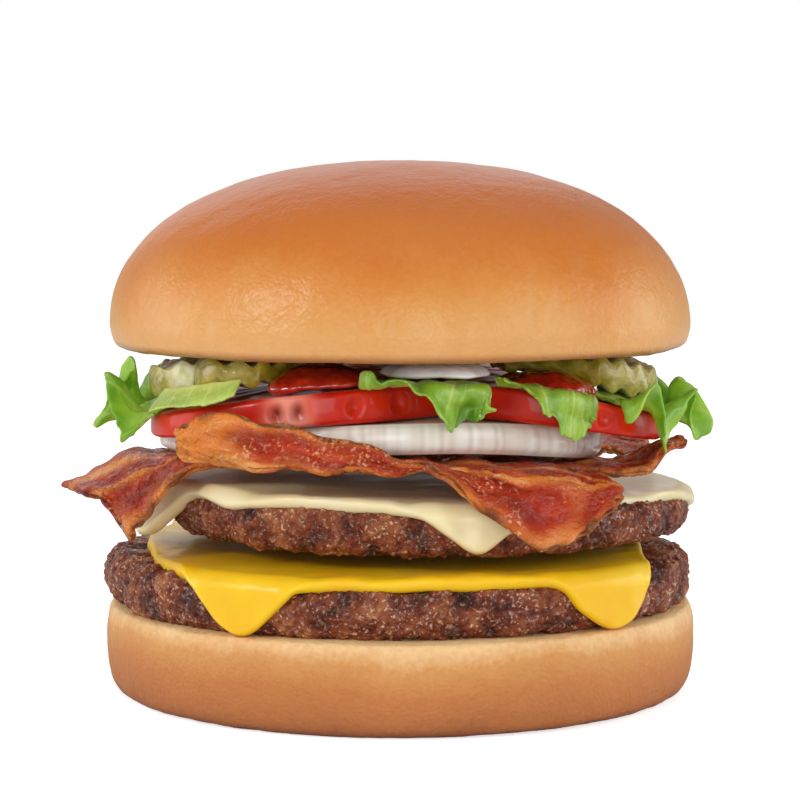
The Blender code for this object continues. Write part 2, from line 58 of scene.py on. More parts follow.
SKIN_PORE = 0.0006
SKIN_DIMPLE = 0.0035


def smooth_curve(rows, count):
    """Rows on a smooth curve through the given ones: a number of them, or those at some shares of its run."""
    rows = np.asarray(rows, float)
    shares = np.linspace(0.0, 1.0, count) if np.isscalar(count) else count
    at = shares * (len(rows) - 1.0)
    index = np.minimum(at.astype(int), len(rows) - 2)
    t = (at - index).reshape(-1, *[1] * (rows.ndim - 1))
    before, start = rows[np.maximum(index - 1, 0)], rows[index]
    end, after = rows[index + 1], rows[np.minimum(index + 2, len(rows) - 1)]
    cubic = 2.0 * before - 5.0 * start + 4.0 * end - after + t * (3.0 * (start - end) + after - before)
    return start + 0.5 * t * (end - before + t * cubic)


def swell(points, size, seed):
    """Smooth random heights from about -1 to 1 at the points of an array, that far apart."""
    spots = (np.asarray(points).reshape(-1, 3) / size + seed).tolist()
    return np.array([noise.noise(spot) for spot in spots]).reshape(points.shape[:-1])


def turned_mesh(name, rings, marks=()):
    """A closed mesh through rings of points, from its lower pole to its upper one, with named marks."""
    count, around = rings.shape[:2]
    points = np.vstack([rings.reshape(-1, 3), rings[0].mean(0), rings[-1].mean(0)])
    low, high = count * around, count * around + 1
    here = np.arange(around)
    beside = np.roll(here, -1)
    row = np.arange(count - 1)[:, None] * around
    walls = np.stack([row + here, row + beside, row + around + beside, row + around + here], axis=-1)
    last = (count - 1) * around
    faces = walls.reshape(-1, 4).tolist()
    faces += [(low, b, a) for a, b in zip(here.tolist(), beside.tolist())]
    faces += [(high, last + a, last + b) for a, b in zip(here.tolist(), beside.tolist())]
    mesh = bpy.data.meshes.new(name)
    mesh.from_pydata(points, [], faces)
    for mark, values in dict(marks).items():
        layer = mesh.attributes.new(mark, "FLOAT", "POINT")
        ends = [values[0].mean(), values[-1].mean()]
        layer.data.foreach_set("value", np.concatenate([values.ravel(), ends]).astype(np.float32))
    return mesh


def put(mesh, material):
    """A smooth-shaded object for a finished mesh, at the origin, with its material."""
    mesh.shade_smooth()
    mesh.materials.clear()
    mesh.materials.append(material)
    piece = bpy.data.objects.new(mesh.name, mesh)
    bpy.context.scene.collection.objects.link(piece)
    return piece


def add(tree, kind, inputs=(), stops=(), **settings):
    """Adds a node. An input takes a value, or a link where it is given another node's output."""
    node = tree.nodes.new(kind)
    for name, value in settings.items():
        setattr(node, name, value)
    for name, value in dict(inputs).items():
        if isinstance(value, bpy.types.NodeSocket):
            tree.links.new(value, node.inputs[name])
        else:
            node.inputs[name].default_value = value
    for number, (position, shade) in enumerate(stops):
        elements = node.color_ramp.elements
        element = elements[number] if number < 2 else elements.new(position)
        element.position = position
        element.color = linear(shade)
    return node


def linear(shade):
    """An sRGB hex colour as linear red, green, blue and full alpha."""
    parts = [int(shade[i : i + 2], 16) / 255.0 for i in (0, 2, 4)]
    return [part / 12.92 if part <= 0.04045 else ((part + 0.055) / 1.055) ** 2.4 for part in parts] + [1.0]


def food(name, **values):
    """A material named for the real food, with its even values set on its shader, and its place output."""
    made = bpy.data.materials.new(name)
    made.use_nodes = True
    tree = made.node_tree
    shader = tree.nodes["Principled BSDF"]
    for socket, value in values.items():
        shader.inputs[socket.replace("_", " ")].default_value = value
    shader.inputs["Subsurface Scale"].default_value = 1.0
    place = add(tree, "ShaderNodeTexCoord").outputs["Object"]
    return made, tree, shader, place


def drifting(tree, place, size, detail, span=(0.3, 0.7), reach=(0.0, 1.0)):
    """A number that drifts over patches of a size, between reach's ends where the pattern is at span's."""
    inputs = {"Vector": place, "Scale": 1.0 / size, "Detail": detail}
    pattern = add(tree, "ShaderNodeTexNoise", inputs).outputs[0]
    inputs = {0: pattern, 1: span[0], 2: span[1], 3: reach[0], 4: reach[1]}
    return add(tree, "ShaderNodeMapRange", inputs).outputs[0]


def pitted(tree, shader, place, size, detail, depth, **more):
    """Pits of a size and a depth in a surface's normals, also given back for its wet coat."""
    inputs = {"Vector": place, "Scale": 1.0 / size, "Detail": detail}
    pattern = add(tree, "ShaderNodeTexNoise", inputs).outputs[0]
    pits = add(tree, "ShaderNodeBump", {"Height": pattern, "Distance": depth, **more}).outputs[0]
    tree.links.new(pits, shader.inputs["Normal"])
    return pits


def relief_tree():
    """Geometry Nodes that raise a surface along its normals: lumps, crumbs and cracks, and a fine grain."""
    tree = bpy.data.node_groups.new("uneven surface", "GeometryNodeTree")
    tree.interface.new_socket("Geometry", in_out="INPUT", socket_type="NodeSocketGeometry")
    names = ("Lump Size", "Lump Height", "Crumb Size", "Crumb Height", "Grain Size", "Grain Height", "Seed")
    for name in names:
        tree.interface.new_socket(name, in_out="INPUT", socket_type="NodeSocketFloat")
    tree.interface.new_socket("Finish", in_out="INPUT", socket_type="NodeSocketMaterial")
    tree.interface.new_socket("Geometry", in_out="OUTPUT", socket_type="NodeSocketGeometry")
    given = add(tree, "NodeGroupInput").outputs
    place = add(tree, "GeometryNodeInputPosition").outputs[0]
    parts = []
    for kind in ("Lump", "Grain"):
        scale = add(tree, "ShaderNodeMath", {0: 1.0, 1: given[kind + " Size"]}, operation="DIVIDE").outputs[0]
        inputs = {"Vector": place, "W": given["Seed"], "Scale": scale, "Detail": 2.0, "Roughness": 0.55}
        field = add(tree, "ShaderNodeTexNoise", inputs, noise_dimensions="4D").outputs[0]
        centred = add(tree, "ShaderNodeMath", {0: field, 1: 0.5}, operation="SUBTRACT").outputs[0]
        inputs = {0: given[kind + " Height"], 1: 2.0}
        height = add(tree, "ShaderNodeMath", inputs, operation="MULTIPLY").outputs[0]
        parts.append(add(tree, "ShaderNodeMath", {0: centred, 1: height}, operation="MULTIPLY").outputs[0])
    bend_scale = add(tree, "ShaderNodeMath", {0: 0.7, 1: given["Crumb Size"]}, operation="DIVIDE").outputs[0]
    inputs = {"Vector": place, "W": given["Seed"], "Scale": bend_scale, "Detail": 1.0}
    bent = add(tree, "ShaderNodeTexNoise", inputs, noise_dimensions="4D").outputs["Color"]
    off = add(tree, "ShaderNodeVectorMath", {0: bent, 1: (0.5, 0.5, 0.5)}, operation="SUBTRACT").outputs[0]
    size = add(tree, "ShaderNodeMath", {0: given["Crumb Size"], 1: 1.2}, operation="MULTIPLY").outputs[0]
    shift = add(tree, "ShaderNodeVectorMath", {0: off, "Scale": size}, operation="SCALE").outputs[0]
    warped = add(tree, "ShaderNodeVectorMath", {0: place, 1: shift}, operation="ADD").outputs[0]
    scale = add(tree, "ShaderNodeMath", {0: 1.0, 1: given["Crumb Size"]}, operation="DIVIDE").outputs[0]
    inputs = {"Vector": warped, "Scale": scale, "Smoothness": 0.35, "Randomness": 1.0}
    cells = add(tree, "ShaderNodeTexVoronoi", inputs, feature="SMOOTH_F1").outputs["Distance"]
    square = add(tree, "ShaderNodeMath", {0: cells, 1: 1.6}, operation="POWER").outputs[0]
    crumb = add(tree, "ShaderNodeMath", {0: 0.42, 1: square}, operation="SUBTRACT").outputs[0]
    inputs = {0: crumb, 1: given["Crumb Height"]}
    parts.append(add(tree, "ShaderNodeMath", inputs, operation="MULTIPLY").outputs[0])
    pair = add(tree, "ShaderNodeMath", {0: parts[0], 1: parts[1]}, operation="ADD").outputs[0]
    total = add(tree, "ShaderNodeMath", {0: pair, 1: parts[2]}, operation="ADD").outputs[0]
    normal = add(tree, "GeometryNodeInputNormal").outputs[0]
    offset = add(tree, "ShaderNodeVectorMath", {0: normal, "Scale": total}, operation="SCALE").outputs[0]
    inputs = {"Geometry": given["Geometry"], "Name": "relief", "Value": total}
    kind = {"data_type": "FLOAT", "domain": "POINT"}
    marked = add(tree, "GeometryNodeStoreNamedAttribute", inputs, **kind).outputs[0]
    moved = add(tree, "GeometryNodeSetPosition", {"Geometry": marked, "Offset": offset}).outputs[0]
    real = add(tree, "GeometryNodeRealizeInstances", {"Geometry": moved}).outputs[0]
    painted = add(tree, "GeometryNodeSetMaterial", {"Geometry": real, "Material": given["Finish"]}).outputs[0]
    add(tree, "NodeGroupOutput", {"Geometry": painted})
    return tree


UNEVEN = relief_tree()


def grown(mesh, tree, **values):
    """The plain mesh that a Geometry Nodes tree makes of a mesh, with its inputs set by name."""
    carrier = bpy.data.objects.new(mesh.name, mesh)
    bpy.context.scene.collection.objects.link(carrier)
    modifier = carrier.modifiers.new("nodes", "NODES")
    modifier.node_group = tree
    for socket in tree.interface.items_tree:
        if socket.in_out == "INPUT" and socket.name.replace(" ", "_") in values:
            modifier[socket.identifier] = values[socket.name.replace(" ", "_")]
    depsgraph = bpy.context.evaluated_depsgraph_get()
    made = bpy.data.meshes.new_from_object(carrier.evaluated_get(depsgraph))
    bpy.data.objects.remove(carrier)
    name = mesh.name
    bpy.data.meshes.remove(mesh)
    made.name = name
    return made


def turned_rings(radius, angle, height):
    """Rings of points about the upright axis."""
    spots = np.broadcast_arrays(radius * np.cos(angle), radius * np.sin(angle), height)
    return np.stack(spots, axis=-1)


def out_of_round(radius, angle, height, cut, seed):
    """A bun's radii past its flat cut, with the same slight swell out of round as its solid."""
    spots = turned_rings(2.0, angle, height * 40.0)
    baked = np.clip((radius - cut) / 0.002, 0.0, 1.0)
    return radius + BUN_SWELL * baked * swell(spots, 1.0, np.array([0.0, 0.0, seed]))


def baked_skin(name, heights, colours, toasted, pore_depth, **values):
    """Baked bun skin: its brown goes with height by the given stops, in soft patches, over fine pebbles."""
    made, tree, shader, place = food(name, **values)
    low, high = heights
    level = add(tree, "ShaderNodeSeparateXYZ", {0: place}).outputs["Z"]
    drift = drifting(tree, place, 0.016, 3.0, reach=(-0.08, 0.08))
    fleck = drifting(tree, place, 0.0011, 2.0, reach=(-0.035, 0.035))
    share = add(tree, "ShaderNodeMapRange", {0: level, 1: low, 2: high}).outputs[0]
    shifted = add(tree, "ShaderNodeMath", {0: share, 1: drift}, operation="ADD").outputs[0]
    mixed = add(tree, "ShaderNodeMath", {0: shifted, 1: fleck}, operation="ADD").outputs[0]
    colour = add(tree, "ShaderNodeValToRGB", {0: mixed}, stops=colours).outputs[0]
    # The lowest edge darkens towards a given colour: real browning on the heel, painted shade on the crown
    edge, shade = toasted
    near = add(tree, "ShaderNodeMapRange", {0: level, 1: edge, 2: edge + 0.0016, 3: 0.8, 4: 0.0}).outputs[0]
    inputs = {0: near, 6: colour, 7: linear(shade)}
    edged = add(tree, "ShaderNodeMix", inputs, data_type="RGBA").outputs[2]
    tree.links.new(edged, shader.inputs["Base Color"])
    inputs = {"Vector": place, "Scale": 1.0 / SKIN_PORE, "Smoothness": 0.6}
    pebbles = add(tree, "ShaderNodeTexVoronoi", inputs, feature="SMOOTH_F1").outputs["Distance"]
    fine = add(tree, "ShaderNodeBump", {"Height": pebbles, "Distance": pore_depth}, invert=True).outputs[0]
    pebbled = pitted(tree, shader, place, 0.0021, 2.0, 2.5 * pore_depth, Normal=fine)
    tree.links.new(pebbled, shader.inputs["Coat Normal"])
    return made


# Baked bread skin is matt, lets a little light in, and is pale on the flanks and brown near the tray
heel_stops = [(0.0, "9A5A2E"), (0.2, "B06A34"), (0.5, "BE7638"), (0.78, "D0924E"), (1.0, "EEC68E")]
heel_skin = baked_skin(
    "baked bread skin",
    (0.0, HEEL_HEIGHT),
    heel_stops,
    (0.0, "7A4020"),
    0.00014,
    Roughness=0.62,
    Subsurface_Weight=0.12,
    Subsurface_Radius=(0.004, 0.002, 0.001),
)
heel_side = [
    (HEEL_RADIUS - 0.0039, 0.0),
    (HEEL_RADIUS - 0.0019, 0.0009),
    (HEEL_RADIUS - 0.0006, 0.0035),
    (HEEL_RADIUS, 0.0080),
    (HEEL_RADIUS - 0.0001, 0.0130),
    (HEEL_RADIUS - 0.0008, HEEL_HEIGHT - 0.0005),
    (HEEL_RADIUS - 0.0021, HEEL_HEIGHT),
]
foot = heel_side[0][0]
under = [(share * foot, 0.0) for share in (0.02, 0.3, 0.6, 0.85)]
above = [(share * heel_side[-1][0], HEEL_HEIGHT) for share in (0.85, 0.6, 0.3, 0.02)]
rows = np.vstack([under, smooth_curve(heel_side, 52), above])
angle = np.linspace(0.0, 2.0 * math.pi, 720, endpoint=False)[None, :]
radius, height = rows[:, :1], rows[:, 1:]
heel = grown(
    turned_mesh("heel", turned_rings(out_of_round(radius, angle, height, foot, 3.0), angle, height)),
    UNEVEN,
    Lump_Size=0.012,
    Lump_Height=0.00035,
    Crumb_Size=SKIN_DIMPLE,
    Crumb_Height=0.00016,
    Grain_Size=0.0011,
    Grain_Height=0.00007,
    Seed=1.0,
    Finish=heel_skin,
)
heel = put(heel, heel_skin)
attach(heel, "root")
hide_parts("bun_bottom")


# Lower patty and upper patty
# Coarsely minced beef, pressed flat and seared: strands and crumbs with cracks between them, browned
# unevenly and wet with fat; the cracks are darkened with painted shade. The upper one tips down to the right
# and has a dent there.
BEEF_CRUMB = 0.0013
GAP = 0.0003
LOWER_PATTY_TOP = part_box("patty_lower")[1].z


class Patty:
    """A patty's middle, its uneven outline, and its two faces, which may tip and bow along X."""

    def __init__(self, centre, radii, underside, top, seed, dent_depth=0.0):
        self.centre = centre
        self.radii = radii
        self.underside = underside
        self.top = top
        self.seed = seed
        self.dent_depth = dent_depth

    def outline(self, angle):
        """The plan radius at an angle."""
        side, front = self.radii
        across = math.cos(angle) ** 2
        radius = side * across + front * (1.0 - across)
        radius += 0.0007 * noise.noise((1.6 * math.cos(angle), 1.6 * math.sin(angle), self.seed))
        away = math.remainder(angle - math.radians(20.0), 2.0 * math.pi) / math.radians(25.0)
        return radius - self.dent_depth * math.exp(-away * away)

    def level(self, x, share):
        """The height at x of the underside at share 0, of the top at share 1, and between them."""
        away = x - self.centre[0]
        low, high = (base + slope * away + bow * away**2 for base, slope, bow in (self.underside, self.top))
        return low + share * (high - low)

    def mesh(self, name):
        """The smooth form: rows of (share of the radius, inset from the outline, share of the height)."""
        side = [(1.0, 0.0026, -0.03), (1.0, 0.0010, 0.10), (1.0, 0.0002, 0.33), (1.0, 0.0, 0.58)]
        side += [(1.0, 0.0009, 0.80), (1.0, 0.0034, 0.88)]
        under = [(share, 0.0, -0.03) for share in (0.02, 0.4, 0.7, 0.85)]
        above = [(share, 0.0, 0.88) for share in (0.88, 0.82, 0.7, 0.4, 0.02)]
        rows = np.vstack([under, smooth_curve(side, 60), above])
        angle = np.linspace(0.0, 2.0 * math.pi, 1300, endpoint=False)
        edge = np.array([self.outline(turn) for turn in angle])
        radius = rows[:, :1] * edge[None, :] - rows[:, 1:2]
        x = self.centre[0] + radius * np.cos(angle)
        y = self.centre[1] + radius * np.sin(angle)
        z = self.level(x, rows[:, 2:])
        return turned_mesh(name, np.stack([x, y, z], axis=-1))


LOWER_PATTY = Patty(
    centre=(-0.0006, 0.0),
    radii=(0.0522, 0.0500),
    underside=(HEEL_HEIGHT + GAP, 0.0, 0.0),
    top=(LOWER_PATTY_TOP, 0.0, 0.0),
    seed=11.3,
)
UPPER_PATTY_UNDERSIDE = LOWER_PATTY_TOP + 0.0032
UPPER_PATTY = Patty(
    centre=(0.0053, 0.0010),
    radii=(0.0469, 0.0452),
    underside=(UPPER_PATTY_UNDERSIDE, -0.004, 0.10),
    top=(UPPER_PATTY_UNDERSIDE + 0.0085, -0.022, 0.0),
    seed=23.7,
    dent_depth=0.0030,
)

# Seared beef is red-brown on its crumbs, with painted shade making its cracks near-black, and small pale
# specks that are partly beads of fat and partly painted glints
beef, tree, shader, place = food(
    "seared minced beef",
    Roughness=0.5,
    Specular_IOR_Level=0.3,
    Coat_Roughness=0.1,
    Subsurface_Weight=0.06,
    Subsurface_Radius=(0.003, 0.001, 0.0005),
)
# Painted shade: the deeper the relief, the darker the colour, down to near-black in the cracks
depth = add(tree, "ShaderNodeAttribute", attribute_name="relief").outputs["Fac"]
drift = drifting(tree, place, 0.0055, 5.0, reach=(-0.34, 0.34))
share = add(tree, "ShaderNodeMapRange", {0: depth, 1: -0.0012, 2: 0.0009}).outputs[0]
mixed = add(tree, "ShaderNodeMath", {0: share, 1: drift}, operation="ADD").outputs[0]
beef_stops = [(0.0, "1C0903"), (1.0, "A8693F"), (0.3, "481A0A"), (0.55, "712E16"), (0.8, "8C4A2A")]
colour = add(tree, "ShaderNodeValToRGB", {0: mixed}, stops=beef_stops).outputs[0]
# Pale specks in clusters, partly beads of fat and partly painted glints
cluster = drifting(tree, place, 0.0055, 5.0, (0.42, 0.6), (0.25, 0.85))
fatty = drifting(tree, place, 0.0006, 1.0, (0.59, 0.69), (0.0, cluster))
speckled = add(tree, "ShaderNodeMix", {0: fatty, 6: colour, 7: linear("DDB594")}, data_type="RGBA").outputs[2]
tree.links.new(speckled, shader.inputs["Base Color"])
tree.links.new(pitted(tree, shader, place, 0.0005, 3.0, 0.0007), shader.inputs["Coat Normal"])
tree.links.new(drifting(tree, place, 0.0012, 2.0, (0.5, 0.6)), shader.inputs["Coat Weight"])

for name, patty, seed in (("patty_lower", LOWER_PATTY, 5.0), ("patty_upper", UPPER_PATTY, 9.0)):
    mesh = grown(
        patty.mesh("seared_" + name),
        UNEVEN,
        Lump_Size=0.0060,
        Lump_Height=0.0015,
        Crumb_Size=BEEF_CRUMB,
        Crumb_Height=0.0007,
        Grain_Size=0.0008,
        Grain_Height=0.00045,
        Seed=seed,
        Finish=beef,
    )
    seared = put(mesh, beef)
    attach(seared, "root")
    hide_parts(name)


# Yellow cheese and white cheese
# Square processed slices, melted on the hot patties: they sink over the edge and their corners run down as
# round-tipped tongues, with a fatter rim where the melt has gathered.
CHEESE_THICKNESS = 0.0021
CHEESE_BEND = 0.0030
CHEESE_STAND_OFF = 0.0013
# How far each slice's edge reaches past the bend, in millimetres, at angles in degrees from the right; it is
# negative where the edge stays on the patty. The front is at -90.
YELLOW_EDGE = (
    (-171.0, -5.6), (-148.0, -2.2), (-137.0, 0.8), (-131.0, 4.8), (-124.6, 10.3),
    (-119.0, 11.8), (-112.5, 7.4), (-107.0, 3.0), (-90.0, 2.4), (-65.0, 2.4),
    (-59.0, 3.6), (-53.5, 8.6), (-45.0, 12.0), (-38.0, 8.5), (-33.0, 2.0),
    (-20.0, -4.3), (0.0, -6.6), (30.0, -3.0), (48.0, 8.0), (65.0, 0.0),
    (90.0, -3.0), (120.0, -1.0), (137.0, 7.0), (152.0, -1.0),
)
WHITE_EDGE = (
    (-180.0, 10.5), (-170.0, 13.5), (-162.0, 11.5), (-154.0, 5.0), (-147.0, 3.6),
    (-137.0, 4.6), (-128.0, 3.4), (-117.0, 2.2), (-104.0, 2.5), (-94.0, 3.6),
    (-87.0, 7.0), (-80.5, 9.9), (-74.0, 6.8), (-64.0, 2.5), (-45.0, -0.8),
    (-30.0, 0.5), (-18.0, 3.0), (-5.0, 6.0), (10.0, 6.6), (25.0, 4.0),
    (42.0, -0.5), (70.0, -3.0), (90.0, 0.5), (103.0, 7.5), (117.0, 3.0),
    (135.0, -1.5), (160.0, 0.0),
)


def around(stations, angle):
    """A smooth closed curve's value at an angle, through stations of (angle, value)."""
    turns = len(stations)
    rows = [(a - 360.0, v) for a, v in stations] + list(stations) + [(a + 360.0, v) for a, v in stations]
    at = math.degrees(math.atan2(math.sin(angle), math.cos(angle)))
    index = max(i for i in range(turns - 1, 2 * turns) if rows[i][0] <= at)
    (a0, v0), (a1, v1), (a2, v2), (a3, v3) = rows[index - 1 : index + 3]
    span = a2 - a1
    t = (at - a1) / span
    leave = (v2 - v0) / (a2 - a0) * span
    arrive = (v3 - v1) / (a3 - a1) * span
    rise = v2 - v1
    return v1 + t * (leave + t * (3.0 * rise - 2.0 * leave - arrive + t * (leave + arrive - 2.0 * rise)))


def solids(*names):
    """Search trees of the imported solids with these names."""
    trees = []
    for name in names:
        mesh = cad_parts[name].data
        corners = [vertex.co for vertex in mesh.vertices]
        trees.append(BVHTree.FromPolygons(corners, [face.vertices for face in mesh.polygons]))
    return trees


def push_clear(points, trees, distance):
    """Moves the points of a sheet out of the solids that it rests on or leans against."""
    flat = points.reshape(-1, 3)
    for number, spot in enumerate(flat.tolist()):
        spot = Vector(spot)
        for _ in range(6):
            moved = False
            for tree in trees:
                nearest, normal, _face, away = tree.find_nearest(spot, 0.012)
                if nearest is None:
                    continue
                outward = spot - nearest
                inside = outward.dot(normal) < -0.7 * away
                if inside or away < distance:
                    direction = normal if inside or away < GAP / 10.0 else outward / away
                    spot = nearest + direction * distance
                    moved = True
            if not moved:
                break
        flat[number] = spot
    return points


def facing(points):
    """The unit normals of a grid of points."""
    normals = np.cross(np.gradient(points, axis=0), np.gradient(points, axis=1))
    return normals / np.maximum(np.linalg.norm(normals, axis=-1, keepdims=True), 1e-12)


def melted_slice(name, patty, node, edge, lean, seed, finish):
    """A slice that lies on a patty and sinks over its edge, down by lean at the front and at the left."""
    front_lean, left_lean = lean
    angle = np.linspace(-math.pi, math.pi, 240, endpoint=False)
    start = np.array([patty.outline(turn) for turn in angle]) + CHEESE_STAND_OFF - CHEESE_BEND
    reach = start + 0.001 * np.array([around(edge, turn) for turn in angle])
    rings = np.linspace(0.02, 1.0, 46)
    rings = (rings + 0.18 * np.sin(math.pi * rings))[:, None]
    over = rings * reach - start
    most = front_lean + (left_lean - front_lean) * np.maximum(0.0, -np.cos(angle)) ** 2
    bent = np.clip(over / CHEESE_BEND, 0.0, most)
    hanging = np.maximum(0.0, over - CHEESE_BEND * bent)
    bend_out = start + CHEESE_BEND * np.sin(bent) + hanging * np.cos(bent)
    out = np.where(over <= 0.0, rings * reach, bend_out)
    down = CHEESE_BEND * (1.0 - np.cos(bent)) + hanging * np.sin(bent)
    x = patty.centre[0] + out * np.cos(angle)
    y = patty.centre[1] + out * np.sin(angle)
    points = np.stack([x, y, patty.level(x, 1.0) + GAP - down], axis=-1)
    points = push_clear(points, solids(node), GAP)
    wrapped = np.concatenate([points[:, -3:], points, points[:, :3]], axis=1)
    wrapped = smooth_curve(wrapped, 66)
    around_shares = np.linspace(3.0, 243.0, 720, endpoint=False) / 245.0
    points = smooth_curve(wrapped.transpose(1, 0, 2), around_shares).transpose(1, 0, 2)
    beside = np.concatenate([points[:, -1:], points, points[:, :1]], axis=1)
    normals = -facing(beside)[:, 1:-1]
    hung = np.clip((np.linspace(0.0, 1.0, len(points))[:, None] - 0.7) / 0.15, 0.15, 1.0)
    lumps = 0.00060 * swell(points, 0.0075, seed) + 0.00018 * swell(points, 0.003, seed)
    points += normals * (hung * lumps)[..., None]
    steps = np.linalg.norm(np.diff(points[::-1], axis=0), axis=-1)
    run = np.concatenate([np.zeros((1, points.shape[1])), np.cumsum(steps, axis=0)])[::-1]
    rounded = np.sqrt(1.0 - (1.0 - np.clip(run / 0.0011, 0.0, 1.0)) ** 2)
    gathered = CHEESE_THICKNESS * (1.0 + 0.2 * np.exp(-((run / 0.004) ** 2)))
    middle = points + normals * (0.5 * gathered)[..., None]
    half = normals * (0.5 * gathered * rounded)[..., None]
    rings = np.concatenate([middle - half, (middle + half)[-2::-1]])
    return put(turned_mesh(name, rings), finish)


def mottled(tree, place, size, detail, *colours):
    """Colours that change over patches of a size, one for each list of stops."""
    inputs = {"Vector": place, "Scale": 1.0 / size, "Detail": detail}
    pattern = add(tree, "ShaderNodeTexNoise", inputs).outputs[0]
    return [add(tree, "ShaderNodeValToRGB", {0: pattern}, stops=stops).outputs[0] for stops in colours]


def melted_cheese(name, colours, **values):
    """Melted cheese: smooth and faintly oily, it lets light in, so its thin rim glows lighter."""
    made, tree, shader, place = food(name, **values)
    tree.links.new(mottled(tree, place, 0.011, 3.0, colours)[0], shader.inputs["Base Color"])
    return made


yellow = melted_cheese(
    "melted yellow cheese",
    [(0.3, "F6B408"), (0.7, "FFCA16")],
    Roughness=0.36,
    Specular_IOR_Level=0.35,
    Coat_Weight=0.1,
    Coat_Roughness=0.12,
    Subsurface_Weight=0.45,
    Subsurface_Radius=(0.006, 0.004, 0.0008),
)
white = melted_cheese(
    "melted white cheese",
    [(0.3, "E6CE98"), (0.7, "F4E3B6")],
    Roughness=0.34,
    Specular_IOR_Level=0.35,
    Coat_Weight=0.2,
    Coat_Roughness=0.1,
    Subsurface_Weight=0.45,
    Subsurface_Radius=(0.006, 0.0045, 0.0022),
)
yellow_slice = melted_slice(
    "yellow_slice",
    LOWER_PATTY,
    "patty_lower",
    YELLOW_EDGE,
    lean=(math.radians(88.0), math.radians(88.0)),
    seed=4.0,
    finish=yellow,
)
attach(yellow_slice, "root")
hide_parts("cheese_yellow")
white_slice = melted_slice(
    "white_slice",
    UPPER_PATTY,
    "patty_upper",
    WHITE_EDGE,
    lean=(math.radians(84.0), math.radians(56.0)),
    seed=8.0,
    finish=white,
)
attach(white_slice, "root")
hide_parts("cheese_white")


# Bacon
# Three rashers of smoked streaky bacon, fried until the lean is dark red and the fat has gone clear orange
# and crisp. They buckle as they cook, and their edges frill and char.
BACON_THICKNESS = 0.0015
BACON_LENGTH = 0.110
BACON_WIDTH = 0.026
BACON_CREASE = 0.3
# Stations: x, y and z of the middle line, length and upward angle of the front side, the same of the back
# side, and how far the end slants to the left at the back, in millimetres and degrees
RASHERS = {
    "bacon_through": (
        (-52.8, -17.5, 36.0, 13.5, -24.0, 13.0, -2.0, 7.2),
        (-45.5, -16.5, 38.9, 13.5, -22.0, 14.5, 11.0, 2.5),
        (-34.0, -13.5, 42.4, 13.0, -2.0, 13.0, 0.0, 0.0),
        (-14.0, -9.0, 42.6, 11.5, 0.0, 12.0, 0.0, 0.0),
        (8.0, -9.0, 42.2, 11.5, 0.0, 12.0, 0.0, 0.0),
        (30.0, -14.0, 40.6, 11.0, -4.0, 11.0, -3.0, 0.0),
        (40.0, -16.5, 40.7, 8.0, -8.0, 8.0, 10.0, 0.0),
        (49.5, -12.5, 45.0, 2.0, 10.0, 2.0, 10.0, 0.0),
    ),
    "bacon_front": (
        (-36.5, -41.2, 47.8, 2.2, 80.0, 2.2, -70.0, 0.0),
        (-30.0, -41.6, 45.0, 7.4, 80.0, 3.0, -20.0, 0.0),
        (-18.0, -42.0, 43.6, 6.6, 76.0, 8.0, 0.0, 0.0),
        (-5.0, -41.8, 43.0, 4.4, 60.0, 13.0, 0.0, 0.0),
        (6.0, -41.5, 43.2, 3.5, 0.0, 14.0, 0.0, 0.0),
        (15.0, -42.0, 42.4, 9.5, -46.0, 14.0, 0.0, 0.0),
        (25.0, -41.0, 41.4, 12.5, -58.0, 11.0, 3.0, 0.0),
        (32.0, -38.0, 40.2, 8.0, -40.0, 6.0, 6.0, 0.0),
        (36.5, -38.5, 38.6, 2.0, -20.0, 2.0, 6.0, 0.0),
    ),
    "bacon_back": (
        (-40.0, 35.0, 39.5, 9.0, 8.0, 9.0, -12.0, 0.0),
        (-30.0, 31.0, 42.0, 11.0, 2.0, 11.0, -4.0, 0.0),
        (-10.0, 26.0, 42.6, 11.5, 0.0, 11.5, 0.0, 0.0),
        (12.0, 21.0, 42.2, 11.5, 0.0, 11.5, 0.0, 0.0),
        (31.0, 17.0, 40.0, 11.0, 0.0, 11.0, 0.0, 0.0),
        (39.0, 16.0, 42.6, 10.0, -8.0, 9.0, 10.0, 0.0),
        (46.5, 15.0, 40.6, 8.0, -10.0, 8.0, 12.0, 0.0),
    ),
}

# Fried bacon is clear, wet and glossy; lean is deep red, fat is orange, and thin edges are nearly black
fried, tree, shader, place = food(
    "fried smoked bacon",
    Roughness=0.42,
    Specular_IOR_Level=0.2,
    Coat_Roughness=0.08,
    Subsurface_Weight=0.2,
    Subsurface_Radius=(0.003, 0.0012, 0.0006),
)
fat = add(tree, "ShaderNodeAttribute", attribute_name="fat").outputs["Fac"]
char = add(tree, "ShaderNodeAttribute", attribute_name="char").outputs["Fac"]
strip = add(tree, "ShaderNodeUVMap", uv_map="strip").outputs[0]
stretched = add(tree, "ShaderNodeMapping", {"Vector": strip, "Scale": (7.0, 7.0, 1.0)}).outputs[0]
grain = add(tree, "ShaderNodeTexNoise", {"Vector": stretched, "Scale": 1.0, "Detail": 4.0}).outputs[0]
lean_stops = [(0.25, "6A1004"), (0.8, "D8602E"), (0.42, "961E08"), (0.6, "B83816")]
lean = add(tree, "ShaderNodeValToRGB", {0: grain}, stops=lean_stops).outputs[0]
pale_stops = [(0.25, "BC5A1C"), (0.85, "F4B470"), (0.5, "DE8234")]
pale = add(tree, "ShaderNodeValToRGB", {0: grain}, stops=pale_stops).outputs[0]
inputs = {0: fat, 6: lean, 7: pale}
streaked = add(tree, "ShaderNodeMix", inputs, data_type="RGBA").outputs[2]
inputs = {0: char, 6: streaked, 7: linear("3E0E07")}
charred = add(tree, "ShaderNodeMix", inputs, data_type="RGBA").outputs[2]
